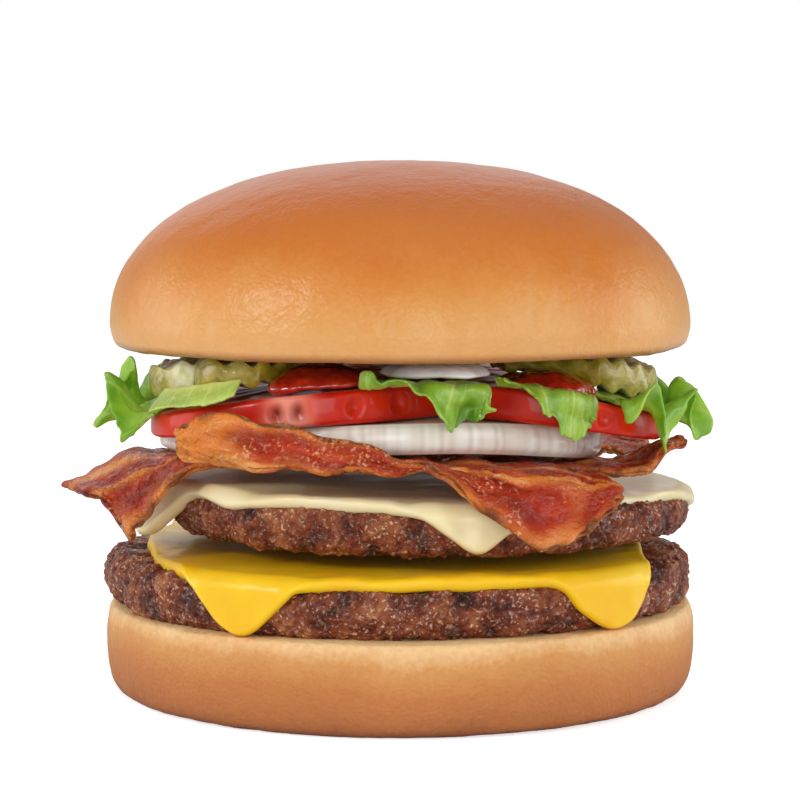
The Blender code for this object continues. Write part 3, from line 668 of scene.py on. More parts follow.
# Pale specks, partly beads of fat and partly painted glints
cluster = drifting(tree, place, 0.007, 1.0, (0.48, 0.66), (0.0, 0.6))
fatty = drifting(tree, place, 0.0007, 1.0, (0.55, 0.68), (0.0, cluster))
inputs = {0: fatty, 6: charred, 7: linear("F4B888")}
speckled = add(tree, "ShaderNodeMix", inputs, data_type="RGBA").outputs[2]
tree.links.new(speckled, shader.inputs["Base Color"])
tree.links.new(pitted(tree, shader, place, 0.0008, 3.0, 0.0009), shader.inputs["Coat Normal"])
tree.links.new(drifting(tree, place, 0.0022, 3.0, (0.46, 0.58), (0.0, 0.6)), shader.inputs["Coat Weight"])


def edge_shares(count):
    """Even shares from 0 to 1 with extra ones close to both ends, where a sheet's rim is rounded."""
    step = 1.0 / (count - 1)
    close = np.array([0.06, 0.2, 0.45]) * step
    return np.sort(np.concatenate([np.linspace(0.0, 1.0, count), close, 1.0 - close]))


def finer(points, along, across):
    """A grid of points on the smooth surface through a coarser grid."""
    rows = smooth_curve(points, edge_shares(along))
    return smooth_curve(rows.transpose(1, 0, 2), edge_shares(across)).transpose(1, 0, 2)


def rim_share(points, rim):
    """0 at a grid's border, rising round to 1 at a rim's width from it."""
    shares = []
    for axis in (0, 1):
        steps = np.linalg.norm(np.diff(points, axis=axis), axis=-1)
        start = np.zeros_like(steps.take([0], axis=axis))
        run = np.concatenate([start, np.cumsum(steps, axis=axis)], axis=axis)
        shares.append(np.minimum(run, run.take([-1], axis=axis) - run))
    near = np.clip(np.minimum(*shares) / rim, 0.0, 1.0)
    return np.sqrt(np.maximum(0.0, 1.0 - (1.0 - near) ** 2))


def grid_shares(points):
    """A grid's shares from 0 to 1 along both ways."""
    along, across = points.shape[:2]
    return np.meshgrid(np.linspace(0.0, 1.0, along), np.linspace(0.0, 1.0, across), indexing="ij")


def sheet_mesh(name, points, thickness, rim, marks=()):
    """A closed thin mesh about a grid of points: a rounded rim, the grid's shares as UVs, and named marks."""
    along, across = points.shape[:2]
    half = facing(points) * (0.5 * thickness * rim_share(points, rim))[..., None]
    upper, lower = points + half, points - half
    top = np.arange(along * across).reshape(along, across)
    bottom = top.copy()
    inner = (along - 2) * (across - 2)
    bottom[1:-1, 1:-1] = along * across + np.arange(inner).reshape(along - 2, across - 2)
    faces = []
    for grid, step in ((top, 1), (bottom, -1)):
        quads = np.stack([grid[:-1, :-1], grid[1:, :-1], grid[1:, 1:], grid[:-1, 1:]], axis=-1)
        faces.append(quads.reshape(-1, 4)[:, ::step])
    mesh = bpy.data.meshes.new(name)
    both = np.vstack([upper.reshape(-1, 3), lower[1:-1, 1:-1].reshape(-1, 3)])
    mesh.from_pydata(both, [], np.vstack(faces).tolist())
    u, v = grid_shares(points)
    fields = {"u": u, "v": v, **dict(marks)}
    values = {}
    for mark, field in fields.items():
        values[mark] = np.concatenate([field.ravel(), field[1:-1, 1:-1].ravel()]).astype(np.float32)
        if mark not in ("u", "v"):
            mesh.attributes.new(mark, "FLOAT", "POINT").data.foreach_set("value", values[mark])
    corners = np.empty(len(mesh.loops), np.int32)
    mesh.loops.foreach_get("vertex_index", corners)
    shares = np.stack([values["u"][corners], values["v"][corners]], axis=-1)
    mesh.uv_layers.new(name="strip").data.foreach_set("uv", shares.ravel())
    return mesh


def rasher(name, node, ripple, clear, seed, fatty_end):
    """A strip bent along its middle line; its marks hold its streaks of fat and its charred edges."""
    height, pitch = ripple
    lines = smooth_curve(RASHERS[node], 70)
    points = []
    for x, y, z, front, front_angle, back, back_angle, slant in lines:
        for side in np.linspace(-1.0, 1.0, 24):
            length, angle = (front, front_angle) if side < 0.0 else (back, back_angle)
            reach = length * (math.hypot(side, BACON_CREASE) - BACON_CREASE)
            reach /= math.hypot(1.0, BACON_CREASE) - BACON_CREASE
            spot_x = x - slant * side
            spot_y = y + math.copysign(reach, side) * math.cos(math.radians(angle))
            spot_z = z + reach * math.sin(math.radians(angle))
            spot_z += height * math.sin(2.0 * math.pi * (spot_x + 0.3 * spot_y) / pitch)
            points.append((spot_x, spot_y, spot_z))
    points = np.array(points).reshape(len(lines), -1, 3) * 0.001
    points = push_clear(points, solids(*clear), BACON_THICKNESS / 2.0 + 2.5 * GAP)
    points = finer(points, 260, 72)
    u, v = grid_shares(points)
    spots = np.stack([u * BACON_LENGTH, v * BACON_WIDTH, np.zeros_like(u)], axis=-1)
    buckle = 0.0006 * swell(spots, 0.0065, seed) + 0.00025 * swell(spots, 0.0022, seed + 5.0)
    edge = np.clip(np.abs(2.0 * v - 1.0) * 2.0 - 1.2, 0.0, 1.0)
    buckle += 0.0008 * edge * swell(spots, 0.0042, seed + 9.0)
    points += facing(points) * buckle[..., None]
    wander = swell(spots * (1.0, 0.3, 1.0), 0.018, seed + 14.0)
    fat = np.zeros_like(v)
    for middle, width in ((0.0, 0.08), (0.45, 0.06), (0.78, 0.05)):
        fat += np.exp(-(((v - middle - 0.14 * wander) / width) ** 2))
    fat += fatty_end * np.clip(1.0 - u / 0.22, 0.0, 1.0) * 2.5
    fat = np.clip(fat + 0.45 * swell(spots * (0.6, 1.2, 1.0), 0.005, seed + 20.0), 0.0, 1.0)
    border = np.minimum(np.minimum(v, 1.0 - v) * BACON_WIDTH, np.minimum(u, 1.0 - u) * BACON_LENGTH)
    char = np.clip(1.0 - border / 0.0016 + 0.9 * swell(spots, 0.005, seed + 30.0), 0.0, 1.0) * 0.8
    mesh = sheet_mesh(name, points, BACON_THICKNESS, 0.0007, marks={"fat": fat, "char": char})
    return put(mesh, fried)


beside_front = ("patty_upper", "cheese_white", "onion", "tomato_left", "bacon_through")
for node, ripple, clear, seed, fatty_end in (
    ("bacon_through", (0.5, 13.0), ("patty_upper", "cheese_white", "onion"), 1.0, 0.0),
    ("bacon_front", (0.4, 11.0), beside_front, 2.0, 1.0),
    ("bacon_back", (0.5, 12.0), ("patty_upper", "cheese_white", "onion", "bacon_through"), 3.0, 0.0),
):
    strip_piece = rasher(node.replace("bacon", "rasher"), node, ripple, clear, seed * 7.0, fatty_end)
    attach(strip_piece, "root")
    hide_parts(node)


# Onion
# One thick slice cut across a white onion, its rings still together. The outer ring shows its fine upright
# veins; raw onion is wet and half clear. It droops at the left, where the filling is thin.
ONION_CENTRE = (-0.0034, -0.0010)
ONION_RADIUS = 0.0396
ONION_UNDERSIDE = 0.0453
ONION_THICKNESS = 0.0051
ONION_POINTS = 900
ARCH_RIDGE = 0.005
UNDER_ONION_ARCH = (1.0, 4.2)
OVER_ONION_ARCH = (1.9, 3.4)


def arch(x, sides):
    """The height lost at x to the fillings' arch, whose two sides fall at their own rates."""
    left, right = sides
    return np.where(x < ARCH_RIDGE, left, right) * (x - ARCH_RIDGE) ** 2


def over_onion(x):
    """The height at x of the surface that the tomatoes lie on."""
    return ONION_UNDERSIDE + ONION_THICKNESS - arch(x, OVER_ONION_ARCH)


def slab_rings(outline, centre, low, high, side, around, steps):
    """Rings of a round slice between two surfaces, and each ring point's share of the way up its profile."""
    under = [(share, 0.0, 0.0) for share in (0.02, 0.25, 0.5, 0.7, 0.85, 0.94)]
    above = [(share, 0.0, 1.0) for share in (0.94, 0.85, 0.7, 0.5, 0.25, 0.02)]
    rows = np.vstack([under, smooth_curve(side, steps), above])
    angle = np.linspace(0.0, 2.0 * math.pi, around, endpoint=False)
    edge = np.array([outline(turn) for turn in angle])
    radius = rows[:, :1] * edge[None, :] - rows[:, 1:2]
    x = centre[0] + radius * np.cos(angle)
    y = centre[1] + radius * np.sin(angle)
    bottom = low(x, y)
    z = bottom + rows[:, 2:] * (high(x, y) - bottom)
    return np.stack([x, y, z], axis=-1), np.broadcast_to(rows[:, 2:], x.shape)


onion_side = [(1.0, 0.0014, 0.0), (1.0, 0.0002, 0.22), (1.0, 0.0, 0.55)]
onion_side += [(1.0, 0.0004, 0.85), (1.0, 0.0014, 1.0)]
rings, rise = slab_rings(
    lambda turn: ONION_RADIUS + 0.0004 * math.sin(3.0 * turn),
    ONION_CENTRE,
    lambda x, y: ONION_UNDERSIDE - arch(x, UNDER_ONION_ARCH),
    lambda x, y: over_onion(x),
    onion_side,
    ONION_POINTS,
    26,
)
angle = np.linspace(0.0, 2.0 * math.pi, ONION_POINTS, endpoint=False)
circle = np.stack([np.cos(angle), np.sin(angle), 0.0 * angle], axis=-1)
veins = swell(circle * ONION_RADIUS, 0.0011, 3.0) + 0.6 * swell(circle * ONION_RADIUS, 0.0032, 6.0)
out = rings - rings.mean(axis=1, keepdims=True)
from_middle = np.hypot(out[..., 0], out[..., 1])
layers = 0.5 + 0.5 * np.sin(2.0 * math.pi * from_middle / 0.0052 + swell(rings, 0.02, 2.0))
on_side = np.exp(-(((from_middle - ONION_RADIUS) / 0.0014) ** 2))
rings += out / np.maximum(from_middle[..., None], 1e-6) * (0.00007 * veins[None, :] * on_side)[..., None]
rings[..., 2] -= np.where(rise > 0.5, 1.0, -1.0) * (1.0 - on_side) * 0.0005 * (1.0 - layers) ** 3

# Raw onion is wet, half clear and nearly white, greyer where the veins and the gaps between rings run
onion_flesh, tree, shader, place = food(
    "raw white onion",
    Roughness=0.18,
    IOR=1.38,
    Coat_Weight=0.3,
    Coat_Roughness=0.08,
    Subsurface_Weight=0.55,
    Subsurface_Radius=(0.006, 0.0045, 0.004),
)
vein = add(tree, "ShaderNodeAttribute", attribute_name="vein").outputs["Fac"]
onion_stops = [(0.0, "BCA698"), (1.0, "F8F4EA"), (0.35, "D8CBBF"), (0.65, "EAE2D6")]
colour = add(tree, "ShaderNodeValToRGB", {0: vein}, stops=onion_stops).outputs[0]
tree.links.new(colour, shader.inputs["Base Color"])
vein_mark = on_side * (0.55 + 0.4 * veins[None, :]) + (1.0 - on_side) * (0.35 + 0.6 * layers)
onion = put(turned_mesh("onion_slice", rings, {"vein": vein_mark}), onion_flesh)
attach(onion, "root")
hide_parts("onion")


# Tomato
# Three round slices side by side. Each has a thin shiny skin round its rim and wet flesh with seed pockets on
# its faces; they thin towards the burger's edge, where the bun presses.
TOMATO_THICKNESS = 0.0056
TOMATO_THINNING = 0.55
TOMATOES = {
    "tomato_left": ((-0.0160, -0.0130), 0.0280),
    "tomato_right": ((0.0230, -0.0095), 0.0230),
    "tomato_back": ((0.0010, 0.0235), 0.0200),
}


def pressed(angle, name, pieces):
    """The outline radius of a round piece, flattened where it presses on its neighbours."""
    centre, radius = pieces[name]
    reach = radius
    for other, (other_centre, other_radius) in pieces.items():
        apart = math.dist(centre, other_centre)
        if other == name or apart > radius + other_radius + GAP:
            continue
        turn = math.cos(angle - math.atan2(other_centre[1] - centre[1], other_centre[0] - centre[0]))
        face = (apart**2 + radius**2 - other_radius**2) / (2.0 * apart)
        if turn > 0.05:
            reach = min(reach, (face - GAP / 2.0) / turn)
    return reach


def over_tomato(x):
    """The height at x of the tomatoes' top, as they get thinner to the sides."""
    return over_onion(x) + GAP + TOMATO_THICKNESS - TOMATO_THINNING * (x - ARCH_RIDGE) ** 2


# Tomato skin is a smooth, deep, wet red; the cut flesh is softer and pinker, with darker clear jelly pockets
tomato_red, tree, shader, place = food(
    "fresh tomato",
    Roughness=0.34,
    Specular_IOR_Level=0.15,
    Coat_Weight=0.22,
    Coat_Roughness=0.03,
    Subsurface_Weight=0.25,
    Subsurface_Radius=(0.005, 0.001, 0.0006),
)
flesh = add(tree, "ShaderNodeAttribute", attribute_name="flesh").outputs["Fac"]
pocket = add(tree, "ShaderNodeAttribute", attribute_name="pocket").outputs["Fac"]
skin_stops = [(0.3, "B41404"), (0.7, "DA2C08")]
meat_stops = [(0.3, "E26A52"), (0.7, "F4A08A")]
skin, meat = mottled(tree, place, 0.008, 3.0, skin_stops, meat_stops)
cut = add(tree, "ShaderNodeMix", {0: pocket, 6: meat, 7: linear("8E1404")}, data_type="RGBA").outputs[2]
both = add(tree, "ShaderNodeMix", {0: flesh, 6: skin, 7: cut}, data_type="RGBA").outputs[2]
tree.links.new(both, shader.inputs["Base Color"])
pitted(tree, shader, place, 0.0013, 3.0, 0.00012, Strength=flesh)

POCKET_DEPTH = 0.0010
# Where a slice's wall shows cut flesh, and where jelly pockets break through it, in degrees from the right
CUT_WALLS = {"tomato_left": (-95.0, 9.0), "tomato_right": (-140.0, 12.0), "tomato_back": (60.0, 14.0)}
WALL_POCKETS = {
    "tomato_left": (-99.5, -91.8, -72.0, -55.0),
    "tomato_right": (-150.0, -60.0),
    "tomato_back": (52.0, 68.0, 110.0),
}
tomato_side = [(1.0, 0.0008, 0.0), (1.0, 0.0001, 0.14), (1.0, 0.0, 0.5)]
tomato_side += [(1.0, 0.0002, 0.88), (1.0, 0.0008, 1.0)]
for name, (centre, radius) in TOMATOES.items():
    rings, rise = slab_rings(
        lambda turn: pressed(turn, name, TOMATOES) + 0.0003 * math.cos(5.0 * turn) - 0.0003,
        centre,
        lambda x, y: over_onion(x) + GAP,
        lambda x, y: over_tomato(x),
        tomato_side,
        480,
        24,
    )
    out = rings[..., :2] - np.array(centre)
    distance = np.hypot(out[..., 0], out[..., 1]) / radius
    turn = np.arctan2(out[..., 1], out[..., 0])
    pocket = np.clip(2.2 * np.sin(5.0 * turn) ** 2 - 0.6, 0.0, 1.0)
    pocket *= np.exp(-(((distance - 0.62) / 0.17) ** 2))
    sunk = np.where((rise > 0.99) | (rise < 0.01), 1.0, 0.0)
    rings[..., 2] -= sunk * np.where(rise > 0.5, 1.0, -1.0) * 0.0005 * pocket
    flesh_mark = sunk * (distance < 0.94)
    middle, width = CUT_WALLS[name]
    degrees = np.degrees(turn)
    flesh_mark = np.maximum(flesh_mark, np.exp(-(((degrees - middle) / width) ** 4)))
    through = sum(np.exp(-(((degrees - at) / 2.6) ** 2)) for at in WALL_POCKETS[name])
    through = through * np.exp(-(((rise - 0.5) / 0.30) ** 2)) * (1.0 - sunk)
    outward = out / np.maximum(np.hypot(out[..., :1], out[..., 1:]), 1e-6)
    rings[..., :2] -= outward * (POCKET_DEPTH * through)[..., None]
    pocket = np.maximum(pocket, through)
    mesh = turned_mesh(name.replace("tomato", "tomato_slice"), rings, {"flesh": flesh_mark, "pocket": pocket})
    slice_piece = put(mesh, tomato_red)
    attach(slice_piece, "root")
    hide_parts(name)


# Lettuce
# Torn pieces of curly green leaf: thin, crisp and glossy, with a pale rib and veins, blistered between the
# veins, and frilled along the free edge because the edge has grown longer than the leaf behind it.
LEAF_THICKNESS = 0.0007

# A leaf lets light through, so it glows yellow-green where thin and goes deep green in its folds
leaf_green, tree, shader, place = food(
    "curly lettuce leaf",
    Roughness=0.34,
    Coat_Weight=0.2,
    Coat_Roughness=0.2,
    Subsurface_Weight=0.35,
    Subsurface_Radius=(0.0015, 0.003, 0.0004),
)
vein = add(tree, "ShaderNodeAttribute", attribute_name="vein").outputs["Fac"]
blade = mottled(tree, place, 0.006, 4.0, [(0.25, "4C8414"), (0.75, "A0CA3A")])[0]
colour = add(tree, "ShaderNodeMix", {0: vein, 6: blade, 7: linear("CBDB78")}, data_type="RGBA").outputs[2]
tree.links.new(colour, shader.inputs["Base Color"])
pitted(tree, shader, place, 0.0009, 3.0, 0.00012)


def smooth_step(low, high, value):
    """0 at low, 1 at high, and an even slope between them."""
    share = max(0.0, min(1.0, (value - low) / (high - low)))
    return share * share * (3.0 - 2.0 * share)


# How much and how often along a leaf its free edge goes in and out
JAGS = ((0.24, 8.0), (0.16, 19.0), (0.07, 50.0))


def leaf(node, centre, angles, radii, reach, lean, ruffle, clear, seed, rise=0.0, rib=0.0):
    """A ruffled leaf: it lies on the tomatoes from its root radius to the rim radius, and is free past it."""
    first, last = (math.radians(angle) for angle in angles)
    root, rim = radii
    wave_height, waves, start = ruffle

    def at(along, across):
        angle = first + along * (last - first)
        turned = smooth_step(0.2, 0.8, along)
        free = reach[0] + turned * (reach[1] - reach[0])
        free *= 0.86 + 0.14 * math.sin(2.0 * math.pi * (waves * 1.5 * along + 0.2))
        free *= 0.4 + 0.6 * math.sqrt(min(1.0, 5.0 * min(along, 1.0 - along)))
        jags = sum(part * noise.noise((along * turns, seed, 0.0)) for part, turns in JAGS)
        lobed = free * (1.0 + jags)
        bend = math.radians(lean[0] + turned * (lean[1] - lean[0]))
        length = across * (rim - root + lobed)
        past = max(0.0, root + length - rim)
        bent = bend * smooth_step(0.0, 0.004, past)
        wave = wave_height * (past / free) ** 1.3 * math.sin(2.0 * math.pi * (waves * along + start))
        radius = min(root + length, rim) + past * math.cos(bent) + wave * math.sin(bent)
        x = centre[0] + radius * math.cos(angle)
        surface = float(over_tomato(centre[0] + min(radius, rim) * math.cos(angle)))
        lift = rise * (1.0 - min(1.0, length / (rim - root + 0.001)))
        z = surface + LEAF_THICKNESS / 2.0 + 1.5 * GAP + lift + wave * math.cos(bent) - past * math.sin(bent)
        return x, centre[1] + radius * math.sin(angle), z

    points = np.array([[at(u, v) for v in np.linspace(0.0, 1.0, 18)] for u in np.linspace(0.0, 1.0, 110)])
    points = push_clear(points, solids(*clear), LEAF_THICKNESS / 2.0 + 1.5 * GAP)
    points = finer(points, 200, 64)
    u, v = grid_shares(points)
    long = np.linalg.norm(np.diff(points[:, points.shape[1] // 3], axis=0), axis=-1).sum()
    wide = np.linalg.norm(np.diff(points[0], axis=0), axis=-1).sum()
    spots = np.stack([u * long, v * wide, np.full_like(u, seed * 0.01)], axis=-1)
    free = np.clip((v - 0.35) / 0.65, 0.0, 1.0)
    frill = 0.0022 * free * swell(spots * (1.0, 1.1, 1.0), 0.0050, seed)
    frill += 0.0012 * free**2 * swell(spots * (1.0, 0.8, 1.0), 0.0019, seed + 4.0)
    blisters = 0.00060 * swell(spots, 0.0022, seed + 8.0)
    points += facing(points) * ((frill + blisters) * (1.0 - 1.5 * rib))[..., None]
    fan = u * 4.0 + 0.9 * swell(spots, 0.010, seed + 12.0)
    ribs = np.exp(-((np.abs(fan - np.round(fan)) / (0.07 - 0.05 * v)) ** 2)) * (0.8 - 0.5 * v)
    net = np.exp(-((swell(spots, 0.0028, seed + 16.0) / 0.05) ** 2)) * 0.28
    pale = np.clip(np.maximum(ribs, net) + 0.8 * (1.0 - v) ** 3 + rib, 0.0, 1.0)
    thickness = LEAF_THICKNESS * (1.0 + 0.3 * pale - 0.35 * v)
    mesh = sheet_mesh(node.replace("lettuce", "leaf"), points, thickness, 0.0004, marks={"vein": pale})
    piece = put(mesh, leaf_green)
    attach(piece, "root")
    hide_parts(node)


LEFT_SLICE, LEFT_RADIUS = TOMATOES["tomato_left"]
RIGHT_SLICE, RIGHT_RADIUS = TOMATOES["tomato_right"]
BACK_SLICE, BACK_RADIUS = TOMATOES["tomato_back"]
beside_top = tuple(TOMATOES) + ("pickle_left", "pickle_front", "pickle_right", "pickle_back")
beside_top += ("ketchup_left", "ketchup_right", "mayonnaise", "onion", "bun_top", "bacon_front")
leaf(
    "lettuce_left",
    LEFT_SLICE,
    angles=(152.0, 204.0),
    radii=(0.0180, 0.0292),
    reach=(0.0068, 0.0072),
    lean=(-34.0, -10.0),
    ruffle=(0.0056, 2.5, 0.35),
    clear=beside_top,
    seed=1.0,
)
leaf(
    "lettuce_rib",
    LEFT_SLICE,
    angles=(206.0, 247.0),
    radii=(0.0262, LEFT_RADIUS + 0.0006),
    reach=(0.0022, 0.0012),
    lean=(30.0, 30.0),
    ruffle=(0.0004, 1.0, 0.0),
    clear=beside_top,
    seed=2.0,
    rise=0.0028,
    rib=0.45,
)
leaf(
    "lettuce_front",
    (0.0, 0.0),
    angles=(-99.0, -70.0),
    radii=(0.0375, 0.0420),
    reach=(0.0045, 0.0088),
    lean=(-30.0, 92.0),
    ruffle=(0.0012, 2.0, 0.1),
    clear=beside_top,
    seed=3.0,
)
leaf(
    "lettuce_front_right",
    RIGHT_SLICE,
    angles=(-106.0, -68.0),
    radii=(0.0212, RIGHT_RADIUS + 0.0008),
    reach=(0.0045, 0.0082),
    lean=(-10.0, 85.0),
    ruffle=(0.0011, 1.6, 0.1),
    clear=beside_top + ("lettuce_front",),
    seed=4.0,
)
leaf(
    "lettuce_right",
    RIGHT_SLICE,
    angles=(-54.0, 30.0),
    radii=(0.0140, RIGHT_RADIUS + 0.0007),
    reach=(0.0062, 0.0066),
    lean=(20.0, -26.0),
    ruffle=(0.0046, 3.5, 0.9),
    clear=beside_top + ("bacon_through",),
    seed=5.0,
)
leaf(
    "lettuce_back",
    BACK_SLICE,
    angles=(50.0, 128.0),
    radii=(0.0130, BACK_RADIUS + 0.0008),
    reach=(0.0060, 0.0060),
    lean=(20.0, 40.0),
    ruffle=(0.0045, 3.0, 0.3),
    clear=beside_top + ("bacon_back",),
    seed=6.0,
    rise=0.0030,
)


# Pickles
# Crinkle-cut slices of pickled cucumber: both faces wave with straight ridges, the rim is bumpy olive skin,
# and the cut faces are pale, wet and half clear.
PICKLE_THICKNESS = 0.0052
CROWN_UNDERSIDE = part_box("bun_top")[0].z
RIDGE_SPACING = 0.0040
RIDGE_HEIGHT = 0.0006
PICKLES = {
    "pickle_left": ((-0.0300, -0.0120), 0.0140),
    "pickle_front": ((-0.0225, -0.0215), 0.0130),
    "pickle_right": ((0.0305, -0.0085), 0.0150),
    "pickle_back": ((0.0020, 0.0250), 0.0150),
}
SAUCES = {
    "ketchup_left": ((-0.0140, -0.0295), 0.0105),
    "ketchup_right": ((0.0250, -0.0228), 0.0088),
    "mayonnaise": ((0.0058, -0.0322), 0.0095),
}


def over_leaf(x):
    """The height at x of what lies on a leaf that lies on the tomatoes."""
    return over_tomato(x) + LEAF_THICKNESS + 3.0 * GAP


# Pickle skin is a wet olive green with darker speckles; the flesh is paler, clearer and greener
pickled, tree, shader, place = food(
    "pickled cucumber",
    Roughness=0.2,
    Coat_Weight=0.35,
    Coat_Roughness=0.08,
    Subsurface_Weight=0.35,
    Subsurface_Radius=(0.003, 0.003, 0.0008),
)
flesh = add(tree, "ShaderNodeAttribute", attribute_name="flesh").outputs["Fac"]
skin_stops = [(0.3, "8A7E1C"), (0.7, "B8A430")]
clear_stops = [(0.3, "C2C474"), (0.7, "F0F0CC")]
skin, clear = mottled(tree, place, 0.0022, 4.0, skin_stops, clear_stops)
colour = add(tree, "ShaderNodeMix", {0: flesh, 6: skin, 7: clear}, data_type="RGBA").outputs[2]
tree.links.new(colour, shader.inputs["Base Color"])
pitted(tree, shader, place, 0.0014, 2.0, 0.00025)


def ridges(x, y):
    """The wave of the crinkle cut."""
    return RIDGE_HEIGHT * np.sin(2.0 * math.pi * (x + 0.25 * y) / RIDGE_SPACING)


def pickle_low(x, y):
    """A pickle slice's lower face."""
    return over_leaf(x) + RIDGE_HEIGHT + ridges(x, y)


def pickle_high(x, y):
    """A pickle slice's upper face, under the crown."""
    under_crown = CROWN_UNDERSIDE - GAP - RIDGE_HEIGHT + ridges(x, y)
    return np.minimum(pickle_low(x, y) + PICKLE_THICKNESS, under_crown)


pickle_side = [(1.0, 0.0004, 0.04), (1.0, 0.0001, 0.25), (1.0, 0.0, 0.5)]
pickle_side += [(1.0, 0.0001, 0.75), (1.0, 0.0004, 0.96)]
for number, (name, (centre, radius)) in enumerate(PICKLES.items()):
    rings, rise = slab_rings(
        lambda turn: pressed(turn, name, {**PICKLES, **SAUCES}),
        centre,
        pickle_low,
        pickle_high,
        pickle_side,
        420,
        24,
    )
    on_face = (rise < 0.03) | (rise > 0.97)
    patches = np.clip(0.9 * swell(rings * (1.0, 1.0, 0.4), 0.006, 3.0 + number), 0.0, 0.12)
    patches += (name == "pickle_left") * np.exp(-(((rings[..., 0] + 0.0350) / 0.0040) ** 2))
    flesh_mark = np.where(on_face, 0.9, patches)
    mesh = turned_mesh(name.replace("pickle", "pickle_slice"), rings, {"flesh": flesh_mark})
    crinkled = put(mesh, pickled)
    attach(crinkled, "root")
    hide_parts(name)


# Sauces
# Two dollops of ketchup on the tomatoes and one of mayonnaise on the front leaf, squeezed out and flattened
# by the crown, so each has soft lobes at its edge.
KETCHUP_THICKNESS = {"ketchup_left": 0.0038, "ketchup_right": 0.0030}


def dollop(name, node, low, highest, lumps, seed, finish):
    """A dollop of sauce: flat below, with lobes at its edge and a soft dome above."""
    centre, radius = SAUCES[node]
    side = [(0.94, 0.0, 0.05), (1.0, 0.0, 0.24), (0.86, 0.0, 0.60), (0.5, 0.0, 0.92)]
    under = [(share, 0.0, 0.0) for share in (0.02, 0.4, 0.7)]
    above = [(0.25, 0.0, 1.0), (0.02, 0.0, 1.0)]
    rows = smooth_curve(under + side + above, 48)
    angle = np.linspace(0.0, 2.0 * math.pi, 240, endpoint=False)
    lobes = radius * (0.94 + 0.06 * np.sin(5.0 * angle + 20.0 * centre[0]))
    edge = np.minimum(lobes, [pressed(turn, node, {**PICKLES, **SAUCES}) for turn in angle])
    reach = rows[:, :1] * edge[None, :]
    x = centre[0] + reach * np.cos(angle)
    y = centre[1] + reach * np.sin(angle)
    bottom = low(x)
    z = bottom + rows[:, 2:] * (highest - bottom)
    mesh = grown(
        turned_mesh(name, np.stack([x, y, z], axis=-1)),
        UNEVEN,
        Lump_Size=0.0045,
        Lump_Height=lumps,
        Crumb_Size=0.003,
        Crumb_Height=0.0,
        Grain_Size=0.0016,
        Grain_Height=0.00008,
        Seed=seed,
        Finish=finish,
    )
    piece = put(mesh, finish)
    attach(piece, "root")
    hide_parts(node)


# Ketchup is a smooth, very glossy dark red, a little lighter where it is thin
ketchup, tree, shader, place = food(
    "tomato ketchup",
    Roughness=0.07,
    Coat_Weight=0.5,
    Coat_Roughness=0.03,
    Subsurface_Weight=0.2,
    Subsurface_Radius=(0.002, 0.0004, 0.0002),
)
colour = mottled(tree, place, 0.0018, 3.0, [(0.3, "8E1408"), (0.7, "BC2C14")])[0]
tree.links.new(colour, shader.inputs["Base Color"])

# Mayonnaise is opaque, cream-white and softly glossy
mayonnaise, tree, shader, place = food(
    "mayonnaise",
    Roughness=0.22,
    Subsurface_Weight=0.4,
    Subsurface_Radius=(0.003, 0.0026, 0.002),
)
colour = mottled(tree, place, 0.005, 2.0, [(0.3, "FBF6EA"), (0.7, "FFFFFF")])[0]
tree.links.new(colour, shader.inputs["Base Color"])

for side, seed in (("left", 31.0), ("right", 37.0)):
    node = "ketchup_" + side
    highest = float(over_tomato(SAUCES[node][0][0])) + GAP + KETCHUP_THICKNESS[node]
    dollop("ketchup_dollop_" + side, node, lambda x: over_tomato(x) + GAP, highest, 0.0009, seed, ketchup)
highest = CROWN_UNDERSIDE - GAP
dollop("mayonnaise_dollop", "mayonnaise", over_leaf, highest, 0.0003, 41.0, mayonnaise)


# Crown
# The upper half of the bun, proved round and brushed before baking: a thin golden brown skin with a soft
# sheen, paler towards the cut, lightly dented and creased where it was handled while warm.
CROWN_RADIUS = 0.0517
CROWN_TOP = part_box("bun_top")[1].z
CROWN_RISE = CROWN_TOP - CROWN_UNDERSIDE
CROWN_WIDEST = 0.0038
CROWN_ROUNDNESS = 2.0 / 2.2
CROWN_CUT = 0.028

# Brushed and baked crust: brown and smooth on top, pale tan at the rim, with a soft gloss over fine pebbles
crown_stops = [(0.0, "DAA264"), (0.16, "D69A54"), (0.32, "D28A3E"), (0.55, "CA7222"), (1.0, "C0601A")]
crown_skin = baked_skin(
    "brushed and baked crust",
    (CROWN_UNDERSIDE, CROWN_TOP),
    crown_stops,
    # Painted shade: the crust darkens towards this brown along its lowest edge, where it curls under
    (CROWN_UNDERSIDE, "9A5A30"),
    0.00008,
    Roughness=0.42,
    Specular_IOR_Level=0.3,
    Coat_Weight=0.2,
    Coat_Roughness=0.26,
    Subsurface_Weight=0.12,
    Subsurface_Radius=(0.004, 0.002, 0.001),
)
crown_side = [(CROWN_RADIUS - 0.0025, 0.0), (CROWN_RADIUS - 0.0008, 0.0010)]
for step in range(24):
    turn = step / 24.0 * math.pi / 2.0
    rise = CROWN_WIDEST + (CROWN_RISE - CROWN_WIDEST) * math.sin(turn) ** CROWN_ROUNDNESS
    crown_side.append((CROWN_RADIUS * math.cos(turn) ** CROWN_ROUNDNESS, rise))
flat = [(share * crown_side[0][0], 0.0) for share in (0.02, 0.3, 0.6, 0.85)]
rows = np.vstack([flat, smooth_curve(crown_side, 110), [(0.001, CROWN_RISE)]])
angle = np.linspace(0.0, 2.0 * math.pi, 640, endpoint=False)[None, :]
radius, height = rows[:, :1], rows[:, 1:]
radius = out_of_round(radius, angle, height, CROWN_CUT, 7.0)
